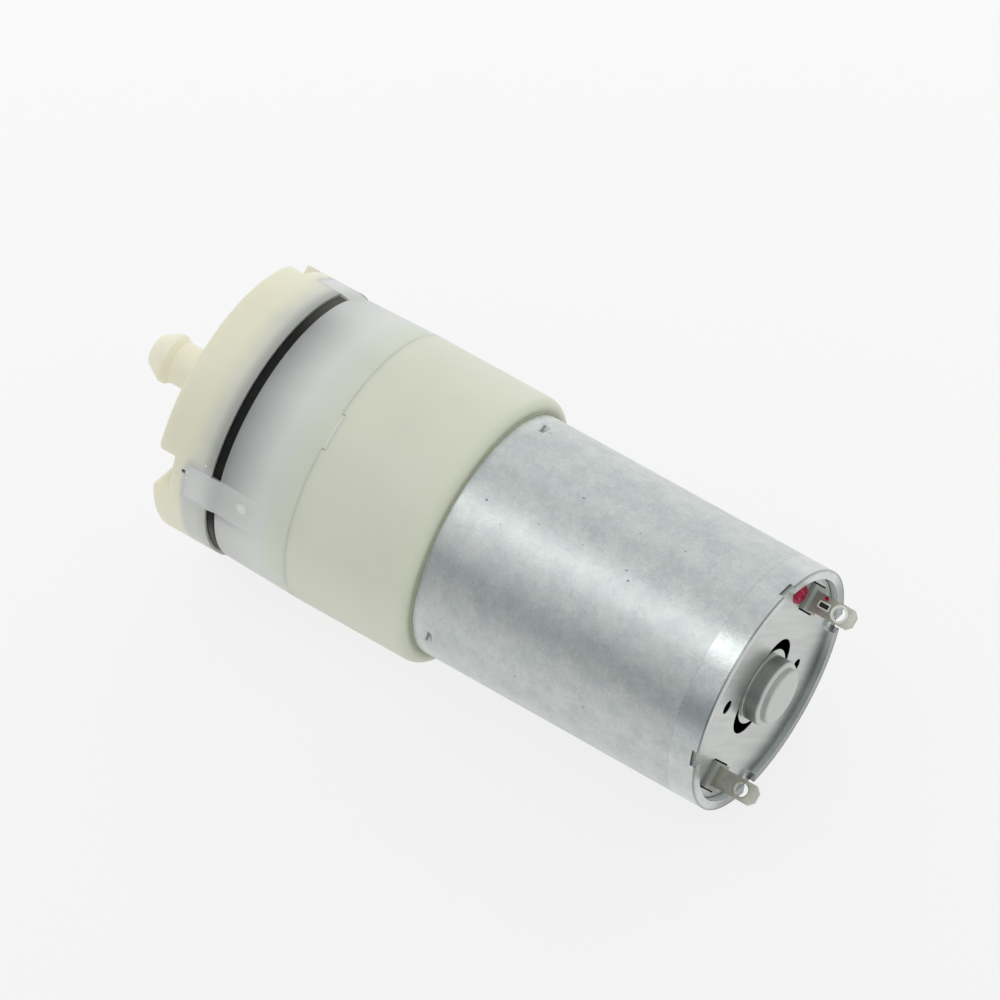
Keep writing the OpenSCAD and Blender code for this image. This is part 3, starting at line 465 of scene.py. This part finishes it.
def rubberFinish(name, look):
    f = Finish(name)
    point = f.place()
    x, y, z = f.axes(point)
    bloom = f.noise(point, 1.1, 4)
    paint = f.mix(f.ramp(bloom, 0.42, 0.72), tint(look["paint"]), tint(look["bloom"]))
    turn = f.turn(y, z)
    nearDustAndSheen = f.ramp(turn, *dust_and_sheen["nearTurns"]) * f.band(x, heights["slot"] - dust_and_sheen["middle"], 0.2, 0.2)
    farDustAndSheen = f.ramp(turn, *dust_and_sheen["farTurns"])
    paint = f.mix((nearDustAndSheen + farDustAndSheen) * dust_and_sheen["share"], paint, tint(look["dust_and_sheen"]))
    return f.shader(Base_Color=paint, Roughness=bloom * 0.2 + look["rough"], IOR=1.3,
                    Normal=f.bump(f.noise(point, 7, 3), 0.4, 0.03))


rubbers = {
    "black_rubber": {"paint": "0e0e0d", "bloom": "191917", "dust_and_sheen": "5f5e5a", "rough": 0.55},
    "valve_rubber": {"paint": "2a2b2b", "bloom": "3c3c39", "dust_and_sheen": "3c3c39", "rough": 0.45},
}

# Metals. The can's sheet is bright, mottled by its zinc, with pits and short scratches
canLook = {
    "zinc": "ccd0cd",
    "dark": "bdc3c3",
    "tones": {"cloud": 0.06, "mottle": 0.36, "fine": 0.34, "grain": 0.16, "facet": 0.08},
    "pit": "6a7274",
    "pitSize": (0.05, 0.10),
    "scratchSize": (0.035, 0.06),
    "ironed": 27.6,  # from here to the rim the sheet was pressed smoother
    "farLight": (-5, -7.5, 0, 0.13),  # painted light on the flanks: begins and ends, from share to share
    "nearLight": (10.5, 12, 0, 0.09),
    "nearShade": (7.2, 0.8, 1.5),  # a strip of painted shade: middle, half width, softness
    "lipLight": (0.3, 1.8, 0.24, 0),  # painted light along the head's lip
    "lipSides": (6.5, 11),
    "rough": 0.38,
    "smooth": 0.24,
}
punch = {  # short marks across the can near its front end, with painted shade in their creases
    "place": 1.7,
    "turn": 28,  # degrees from the terminals' plane
    "half": (0.55, 4.3),  # millimetres along the axis, degrees round it
    "slant": 0.22,
    "dark": 0.6,
    "darkPatch": 0.16,
}
canRim = {
    "line": 30.42,  # a painted dark reflection runs round the outer edge
    "lineRadii": (11.85, 12.0),
    "lineDark": 0.5,
    "notch": (29.97, 0.06, 0.03),  # painted shade on the four notches' floors: place, half width, softness
    "notchTurns": (4.2, 4.5),
    "notchRadii": (11.2, 11.35),
    "notchEdge": (11.65, 11.95),
    "farTurns": (92, 114),  # the rim lies in the shade on its far side
    "farRadii": (11.0, 11.15),
    "wallRadii": (11.22, 11.3),
}


def punchMarks(f, x, turn, fine):  # how far the marks darken the sheet: painted shade in their creases, and a darker patch
    halfLength, halfTurn = punch["half"]
    forward = (x - punch["place"]) / halfLength
    sideways = ((turn.math("ABSOLUTE") - 90).math("ABSOLUTE") - punch["turn"]) / halfTurn
    line = f.band(forward - sideways * punch["slant"], 0.0, 0.1, 0.3) * f.band(sideways, 0.0, 0.75, 0.25)
    darkPatch = f.band(forward, 0.5, 0.0, 0.8) * f.band(sideways, 0.0, 0.3, 0.7) * f.ramp(fine, 0.4, 0.6)
    return (line * punch["dark"]).math("MAXIMUM", darkPatch * punch["darkPatch"])


def rimShade(f, x, turn, radius):  # what the notches and the far side of the rim keep of their light
    fourth = ((turn.math("ABSOLUTE") - 90).math("ABSOLUTE") - 45).math("ABSOLUTE")
    notch = (f.ramp(fourth, *canRim["notchTurns"], 1.0, 0.0) * f.band(x, *canRim["notch"])
             * f.ramp(radius, *canRim["notchRadii"]))
    farRim = (f.ramp(turn.math("ABSOLUTE"), *canRim["farTurns"]) * f.ramp(radius, *canRim["farRadii"])
              * f.ramp(x, 29.7, 29.8))
    onWall = f.ramp(radius, *canRim["wallRadii"], 1.0, 0.0)
    rimDark = onWall * f.ramp(x, 29.75, 30.2, 0.55, 0.1) + (1.0 - onWall) * 0.5
    notchDark = f.ramp(radius, *canRim["notchEdge"]) * 0.55 + 0.33
    return (1.0 - notch * notchDark) * (1.0 - farRim * rimDark)


def canFinish():
    f = Finish("galvanisedSteel")
    point = f.place()
    x, y, z = f.axes(point)
    turn = f.turn(y, z)
    cloud = f.noise(point, 0.42, 4, 0.6)
    mottle = f.noise(point, 3.4, 4, 0.7)
    grain = f.noise(f.place((5.0, 13, 13)), 1, 2)
    flower = f.cells(f.place((1, 0.8, 0.8)), 2.1, "Color")
    facet = f.axes(flower)[0]
    ironed = f.ramp(x + cloud * 0.3, canLook["ironed"], canLook["ironed"] + 0.25)
    worn = 1.0 - ironed * 0.7
    fine = f.noise(point, 8, 3, 0.7)
    tones = canLook["tones"]  # how much each layer lightens and darkens the sheet
    tone = ((cloud - 0.5) * tones["cloud"] + (mottle - 0.5) * tones["mottle"] * worn
            + (fine - 0.5) * tones["fine"] + (grain - 0.5) * tones["grain"] + (facet - 0.5) * tones["facet"])
    paint = f.mix(f.ramp(cloud, 0.3, 0.75), tint(canLook["zinc"]), tint(canLook["dark"]))
    paint = f.dim(paint, tone + 1.0)
    pits = f.cells(f.place((0.55, 0.9, 0.9)), 0.9)
    rare = f.ramp(f.noise(point, 0.8, 1), 0.55, 0.62)
    pit = f.ramp(pits, *canLook["pitSize"], 1.0, 0.0) * rare
    scratches = f.cells(f.place((0.42, 1.7, 1.2)), 0.75)
    scratch = f.ramp(scratches, *canLook["scratchSize"], 1.0, 0.0) * f.ramp(cloud, 0.48, 0.55)
    mark = pit.math("MAXIMUM", scratch) * (1.0 - ironed * 0.8)
    paint = f.mix(mark * 0.75, paint, tint(canLook["pit"]))
    paint = f.dim(paint, 1.0 - f.band(x, canLook["ironed"], 0.02, 0.06) * 0.12)
    side = f.along(point, flank)
    # painted light on the flanks and beside the head's lip, and a strip of painted shade
    lit = (f.ramp(side, *canLook["farLight"]) + f.ramp(side, *canLook["nearLight"])
           - f.band(side, *canLook["nearShade"]) * 0.06
           + f.ramp(side.math("ABSOLUTE"), *canLook["lipSides"]) * f.ramp(x, *canLook["lipLight"]))
    paint = f.dim(paint, lit + 1.0)
    # painted shade in the punch marks' creases
    paint = f.dim(paint, 1.0 - punchMarks(f, x, turn, fine))
    radius = (y * y + z * z) ** 0.5
    # painted dark reflection on the rim's outer edge
    rimLine = f.band(x, canRim["line"], 0.06, 0.06) * f.ramp(radius, *canRim["lineRadii"])
    paint = f.dim(paint, 1.0 - rimLine * canRim["lineDark"])
    # painted shade in the notches and on the rim's far side
    paint = f.dim(paint, rimShade(f, x, turn, radius))
    rough = canLook["rough"] + (mottle - 0.5) * 0.22 * worn - ironed * (canLook["rough"] - canLook["smooth"])
    height = mottle * 0.6 + grain * 0.35 + fine * 0.35 - mark * 0.8
    return f.shader(Base_Color=paint, Metallic=0.92, Roughness=rough + mark * 0.2,
                    Normal=f.bump(height, 0.6, 0.03))


plateLook = {
    "paint": "cdd0cc",
    "dark": "c2c5c2",
    "across": (0, 0.749, 0.663),  # square to the brushed lines
    "face": 29.7,
    "shoulder": 31.05,  # the boss's side is in the shade up to here
    "sideDark": 0.47,
    "step": 31.65,  # and its step is duller
    "stepRadii": (2.75, 2.6),
    # painted shade inside the holes
    "hole": "0d0d0d",
    "rough": 0.3,
}


def plateFinish():
    f = Finish("brushedPlate")
    point = f.place()
    x, y, z = f.axes(point)
    lineUp = f.along(point, plateLook["across"])
    lineOn = f.along(point, (0, -plateLook["across"][2], plateLook["across"][1]))
    stroke = f.add("ShaderNodeCombineXYZ", None, {0: lineUp * 9, 1: lineOn * 0.35, 2: x * 0.2})
    lines = f.noise(stroke, 1, 3, 0.6)
    wide = f.add("ShaderNodeCombineXYZ", None, {0: lineUp * 1.6, 1: lineOn * 0.15, 2: x})
    broad = f.ramp(f.noise(wide, 1, 2), 0.35, 0.75)
    radius = (y * y + z * z) ** 0.5
    boss = f.ramp(x, plateLook["face"] + 0.03, plateLook["face"] + 0.1)
    turned = f.noise(f.add("ShaderNodeCombineXYZ", None, {0: radius * 5, 1: x * 5, 2: 0.0}), 1, 2)
    flow = lines * (1.0 - boss) + turned * boss
    paint = f.mix(broad * (1.0 - boss), tint(plateLook["paint"]), tint(plateLook["dark"]))
    side = boss * f.ramp(x, plateLook["shoulder"] - 0.15, plateLook["shoulder"] + 0.15, 1.0, 0.0)
    paint = f.dim(paint, (flow - 0.5) * 0.3 + 1.0 - boss * 0.04 - side * plateLook["sideDark"])
    step = f.band(x, plateLook["step"], 0.2, 0.1) * f.ramp(radius, *plateLook["stepRadii"])
    # painted shade inside the holes, below the plate's face
    deep = f.ramp(x, plateLook["face"] - 0.12, plateLook["face"] - 0.03, 1.0, 0.0)
    paint = f.mix(deep, paint, tint(plateLook["hole"]))
    return f.shader(Base_Color=paint, Metallic=0.9 - step * 0.4,
                    Roughness=flow * 0.16 + boss * 0.1 + (plateLook["rough"] - 0.04) + step * 0.3,
                    Normal=f.bump(flow, 0.22, 0.02))


def metalFinish(name, look):  # the smaller metal pieces: a rolled, turned, wound or sintered skin
    f = Finish(name)
    point = f.place(look.get("stretch", (1, 1, 1)))
    grain = f.noise(point, look["grain"], 3, 0.6)
    cloud = f.noise(f.place(), 0.9, 2)
    paint = f.mix(f.ramp(cloud, 0.3, 0.75), tint(look["paint"]), tint(look["second"]))
    paint = f.dim(paint, (grain - 0.5) * look["contrast"] + 1.0)
    return f.shader(Base_Color=paint, Metallic=look.get("metal", 1.0),
                    Roughness=grain * 0.16 + (look["rough"] - 0.08),
                    Normal=f.bump(grain, look.get("relief", 0.35), 0.02))


metals = {
    "plated_steel": {"paint": "c6c8c8", "second": "b4b7b8", "grain": 5, "contrast": 0.2, "rough": 0.32},
    "polished_steel": {"paint": "d0d2d3", "second": "c3c6c8", "grain": 3, "contrast": 0.1, "rough": 0.2,
                       "stretch": (6, 1, 1)},
    "lamination_steel": {"paint": "8d9093", "second": "797c80", "grain": 2, "contrast": 0.7, "rough": 0.4,
                         "stretch": (2, 0.05, 0.05)},
    "tinned_tag": {"paint": "bdbdb2", "second": "a9a99e", "grain": 4, "contrast": 0.3, "rough": 0.36,
                   "stretch": (0.5, 2, 2)},
    "bright_tin": {"paint": "f4f4ee", "second": "e4e4dc", "grain": 4, "contrast": 0.1, "rough": 0.3,
                   "metal": 0.35},
    "sintered_bronze": {"paint": "a88358", "second": "8d6b45", "grain": 12, "contrast": 0.4, "rough": 0.5},
    "spring_brass": {"paint": "cbb06c", "second": "b99c58", "grain": 3, "contrast": 0.2, "rough": 0.28,
                     "stretch": (4, 0.5, 0.5)},
    "bare_copper": {"paint": "cf8a66", "second": "a8664a", "grain": 4, "contrast": 0.3, "rough": 0.3,
                    "stretch": (5, 1, 1)},
    "enamelled_copper": {"paint": "b1592f", "second": "8e3f20", "grain": 2.8, "contrast": 0.9, "rough": 0.26,
                         "stretch": (0.3, 1.6, 1.6), "relief": 0.9},
}

finishes = {
    "cream_plastic": capFinish(),
    "milky_plastic": holderFinish(),
    "base_plastic": baseFinish(),
    "galvanised_steel": canFinish(),
    "brushed_plate": plateFinish(),
}
for slotName, look in plastics.items():
    finishes[slotName] = plainPlastic(slotName, look)
for slotName, look in rubbers.items():
    finishes[slotName] = rubberFinish(slotName, look)
for slotName, look in metals.items():
    finishes[slotName] = metalFinish(slotName, look)

slotOf = {part["node"]: part["material_slot"] for part in frame["record"]["subparts"]}
for name, piece in frame["nodes"].items():
    for slotPlace in piece.material_slots:
        slotPlace.material = finishes[slotOf[name]]
print("finishes on", len(frame["nodes"]), "pieces")


# Small pieces that the frame doesn't hold: paint, white dots (one a painted highlight), flash, an olive bead
# of painted shade in the lip's joint, a dark sheet of painted shade in a tag's window, and the tags' edges
def built(name, points, faces, material):
    mesh = bpy.data.meshes.new(name)
    shape = bmesh.new()
    corners = [shape.verts.new(Vector(point) * mm) for point in points]
    for face in faces:
        shape.faces.new([corners[i] for i in face])
    bmesh.ops.recalc_face_normals(shape, faces=shape.faces)
    shape.to_mesh(mesh)
    shape.free()
    for polygon in mesh.polygons:
        polygon.use_smooth = True
    mesh.materials.append(material)
    piece = bpy.data.objects.new(name, mesh)
    bpy.context.scene.collection.objects.link(piece)
    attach(piece, "pump")
    return piece


def onHead(turn, x, radius):  # a place on the head, by the degrees that the finishes count
    a = math.radians(turn + headTurn)
    return Vector((x, -radius * math.sin(a), radius * math.cos(a)))


def onMotor(x, y, along):  # a place in the motor's own axes, its terminals at plus and minus x
    a = math.radians(headTurn + 90)
    s, c = math.sin(a), math.cos(a)
    return Vector((along, x * s + y * c, y * s - x * c))


def drop(name, centre, out, first, look, material):  # a low drop with an uneven edge
    out = out.normalized()
    first = first.normalized()
    second = out.cross(first)
    rng = random.Random(look["seed"])
    waves = [(k, rng.uniform(-1, 1) * look["uneven"] / k, rng.uniform(0, math.tau)) for k in (2, 3, 5, 7)]
    points = [centre + out * look["height"]]
    for ring in range(1, look["rings"] + 1):
        share = ring / look["rings"]
        for step in range(look["steps"]):
            angle = math.tau * step / look["steps"]
            edge = 1 + sum(size * math.cos(k * angle + shift) for k, size, shift in waves)
            reach = share * edge
            lift = look["height"] * (1 - share ** 2) ** 0.5 if ring < look["rings"] else -look["sink"]
            points.append(centre + first * (math.cos(angle) * reach * look["size"][0])
                          + second * (math.sin(angle) * reach * look["size"][1]) + out * lift)
    n = look["steps"]
    faces = [(0, 1 + j, 1 + (j + 1) % n) for j in range(n)]
    for ring in range(look["rings"] - 1):
        a, b = 1 + ring * n, 1 + (ring + 1) * n
        faces += [(a + j, b + j, b + (j + 1) % n, a + (j + 1) % n) for j in range(n)]
    last = 1 + (look["rings"] - 1) * n
    faces.append(tuple(last + j for j in reversed(range(n))))
    return built(name, points, faces, material)


def bead(name, path, out, radius, material, around=10):  # a round bead along a closed line
    points = []
    count = len(path)
    for i, place in enumerate(path):
        ahead = (path[(i + 1) % count] - path[i - 1]).normalized()
        side = out.cross(ahead).normalized()
        for j in range(around):
            angle = math.tau * j / around
            points.append(place + (side * math.cos(angle) + out * math.sin(angle)) * radius)
    faces = []
    for i in range(count):
        for j in range(around):
            faces.append((i * around + j, i * around + (j + 1) % around,
                          ((i + 1) % count) * around + (j + 1) % around, ((i + 1) % count) * around + j))
    return built(name, points, faces, material)


paintLook = {
    "deep": "8c0026",
    "light": "d8608a",
    "across": (0, -0.515, 0.857),  # along the brush's streaks
    "upward": (0, 0.857, 0.515),
    "streaks": 2.6,
    "rough": 0.5,
}
whiteDotLook = {"paint": "e4e7e3", "shade": "d6d9d5", "rough": 0.4}


def paintFinish():
    f = Finish("lacquer")
    point = f.place()
    across = f.along(point, paintLook["across"])
    upward = f.along(point, paintLook["upward"])
    stroke = f.add("ShaderNodeCombineXYZ", None,
                   {0: across * 0.5, 1: upward * paintLook["streaks"], 2: f.axes(point)[0]})
    streak = f.noise(stroke, 1, 3, 0.6)
    paint = f.mix(f.ramp(streak, 0.52, 0.7), tint(paintLook["deep"]), tint(paintLook["light"]))
    return f.shader(Base_Color=paint, Roughness=streak * 0.2 + paintLook["rough"], IOR=1.25,
                    Normal=f.bump(streak, 0.4, 0.03))


def whiteDotFinish():
    f = Finish("white_dot")
    cloud = f.noise(f.place(), 4, 2)
    paint = f.mix(cloud, tint(whiteDotLook["paint"]), tint(whiteDotLook["shade"]))
    return f.shader(Base_Color=paint, Roughness=cloud * 0.1 + whiteDotLook["rough"],
                    Normal=f.bump(cloud, 0.2, 0.02))


lacquer = paintFinish()
white_dot = whiteDotFinish()
axis = Vector((1, 0, 0))
towardsUpper = onMotor(1, 0, 0)
towardsNear = onMotor(0, 1, 0)
paintMark = {  # on the plate, beside the upper tag
    "place": (8.85, 3.3, 29.7),
    "size": (1.05, 1.7),
    "height": 0.2,
    "sink": 0.02,
    "uneven": 0.14,
    "rings": 9,
    "steps": 56,
    "seed": 4,
}
paintSmear = {  # on the upper tag's face
    "place": (9.62, 0.25, 31.1),
    "size": (0.26, 0.22),
    "height": 0.03,
    "sink": 0.02,
    "uneven": 0.25,
    "rings": 6,
    "steps": 36,
    "seed": 9,
}
drop("paint_mark", onMotor(*paintMark["place"]), axis, towardsUpper, paintMark, lacquer)
drop("paint_smear", onMotor(*paintSmear["place"]), towardsNear, axis, paintSmear, lacquer)

whiteDotShape = {"height": 0.04, "sink": 0.03, "uneven": 0.12, "rings": 6, "steps": 28, "seed": 3}
# white dots on the head; the one on the cap is a painted highlight at a groove's corner
whiteDots = {
    "speck_arm": {"turn": 40.6, "x": -24.16, "radius": 13.45, "size": 0.15},
    "speck_cap": {"turn": 31.2, "x": -22.52, "radius": 13.45, "size": 0.13},
}
for name, spot in whiteDots.items():
    out = onHead(spot["turn"], 0, 1)
    drop(name, onHead(spot["turn"], spot["x"], spot["radius"]), out, axis,
         {**whiteDotShape, "size": (spot["size"], spot["size"])}, white_dot)

tag = {
    "radius": 8.95,  # middle of the tags, from the axis
    "half": 0.25,  # half their thickness
    "eyelet": 32.8,
    "eyeletR": 0.74,
    "bead": 0.11,
    "sunk": 0.03,  # how deep the beads lie in the tag's face
    "window": 31.2,
    "windowHalf": (0.285, 0.535),
    "windowBead": 0.08,
    "corner": 0.1,
    "backHalf": (0.222, 0.472),  # what shows in the window
    "backDepth": 0.04,
}
for side, label in ((1, "upper"), (-1, "lower")):
    for face in (1, -1):
        mark = "near" if face > 0 else "far"
        ringPath = []
        for step in range(48):
            angle = math.tau * step / 48
            ringPath.append(onMotor(side * tag["radius"] + tag["eyeletR"] * math.cos(angle),
                                    face * (tag["half"] - tag["sunk"]),
                                    tag["eyelet"] + tag["eyeletR"] * math.sin(angle)))
        bead(f"eyelet_rim_{label}_{mark}", ringPath, towardsNear * face, tag["bead"],
             finishes["bright_tin" if side > 0 else "tinned_tag"])
(halfX, halfAlong), corner = tag["windowHalf"], tag["corner"]
framePath = []
for quarter, (sx, sa) in enumerate(((1, 1), (-1, 1), (-1, -1), (1, -1))):
    for step in range(5):
        angle = math.radians(90 * quarter + 22.5 * step)
        framePath.append(onMotor(tag["radius"] + sx * (halfX - corner) + corner * math.cos(angle),
                                 tag["half"] - tag["sunk"],
                                 tag["window"] + sa * (halfAlong - corner) + corner * math.sin(angle)))
bead("window_rim_upper", framePath, towardsNear, tag["windowBead"], finishes["bright_tin"])


def slab(name, corners, depth, material):  # a thin flat piece from its outline
    count = len(corners)
    points = list(corners) + [corner + depth for corner in corners]
    faces = [tuple(range(count)), tuple(reversed(range(count, 2 * count)))]
    faces += [(i, (i + 1) % count, count + (i + 1) % count, count + i) for i in range(count)]
    piece = built(name, points, faces, material)
    for polygon in piece.data.polygons:
        polygon.use_smooth = False
    return piece


def windowBack(side, level, material):  # a thin sheet in a tag's window: dark on the upper tag, as painted shade, and of tin on the lower
    across, alongHalf = tag["backHalf"]
    corners = [onMotor(side * tag["radius"] + sx * across, level, tag["window"] + sa * alongHalf)
               for sx, sa in ((1, 1), (-1, 1), (-1, -1), (1, -1))]
    slab(f"window_back_{'upper' if side > 0 else 'lower'}", corners,
         towardsNear * -tag["backDepth"], material)


# painted shade: a dark sheet in the upper tag's window
windowBack(1, -0.05, finishes["carbon"])
windowBack(-1, 0.19, finishes["tinned_tag"])

# Flash in the joints, where the mouldings close up to their neighbours, and an olive bead of painted shade
# in the lip's joint
arms = {
    "first": 43,
    "apart": 120,
    "half": 8.0,  # degrees from an arm's middle to its edge
    "over": 0.35,  # the flash reaches this far over the edge
    "outside": 0.45,  # and this far beside it
    "end": -24.4,
    "endHalf": 0.075,
    "ring": -21.78,
    "radii": (13.1, 13.456),
    "pick": 4.5,  # degrees from an arm's middle to its release slot
    "pickHalf": 0.8,
}


def shell(name, turns, span, radii, material):  # a piece of a ring round the pump's axis
    steps = max(2, int((turns[1] - turns[0]) * 2))
    points, faces = [], []
    for i in range(steps + 1):
        turn = turns[0] + (turns[1] - turns[0]) * i / steps
        points += [onHead(turn, x, r) for x, r in ((span[0], radii[0]), (span[1], radii[0]),
                                                   (span[1], radii[1]), (span[0], radii[1]))]
    for i in range(steps):
        a = 4 * i
        faces += [(a + j, a + (j + 1) % 4, a + 4 + (j + 1) % 4, a + 4 + j) for j in range(4)]
    faces += [(3, 2, 1, 0), tuple(4 * steps + j for j in range(4))]
    piece = built(name, points, faces, material)
    for polygon in piece.data.polygons:
        polygon.use_smooth = False
    return piece


for number in range(3):
    centre = arms["first"] + arms["apart"] * number
    for side, label in ((-1, "upper"), (1, "lower")):
        turns = sorted((centre + side * (arms["half"] - arms["over"]),
                        centre + side * (arms["half"] + arms["outside"])))
        shell(f"flash_arm{number + 1}_{label}", turns, (arms["end"], arms["ring"]), arms["radii"],
              finishes["arm_flash"])
    half = arms["half"] + arms["outside"]
    pick = centre - arms["pick"]
    endSpan = (arms["end"] - arms["endHalf"], arms["end"] + arms["endHalf"])
    shell(f"flash_arm{number + 1}_end_a", (centre - half, pick - arms["pickHalf"]), endSpan,
          arms["radii"], finishes["arm_flash"])
    shell(f"flash_arm{number + 1}_end_b", (pick + arms["pickHalf"], centre + half), endSpan,
          arms["radii"], finishes["arm_flash"])

rings = {
    # an olive bead of painted shade in the joint between the lip and the can
    "joint_sealant": {"radius": 12.17, "place": -0.04, "bead": 0.15, "finish": "joint_shade"},
    "seam_flash": {"radius": 13.448, "place": -12.9, "bead": 0.048, "finish": "flash"},
}
for name, ring in rings.items():
    ringPath = [onHead(2 * step, ring["place"], ring["radius"]) for step in range(180)]
    bead(name, ringPath, axis, ring["bead"], finishes[ring["finish"]])
print("small pieces ready")
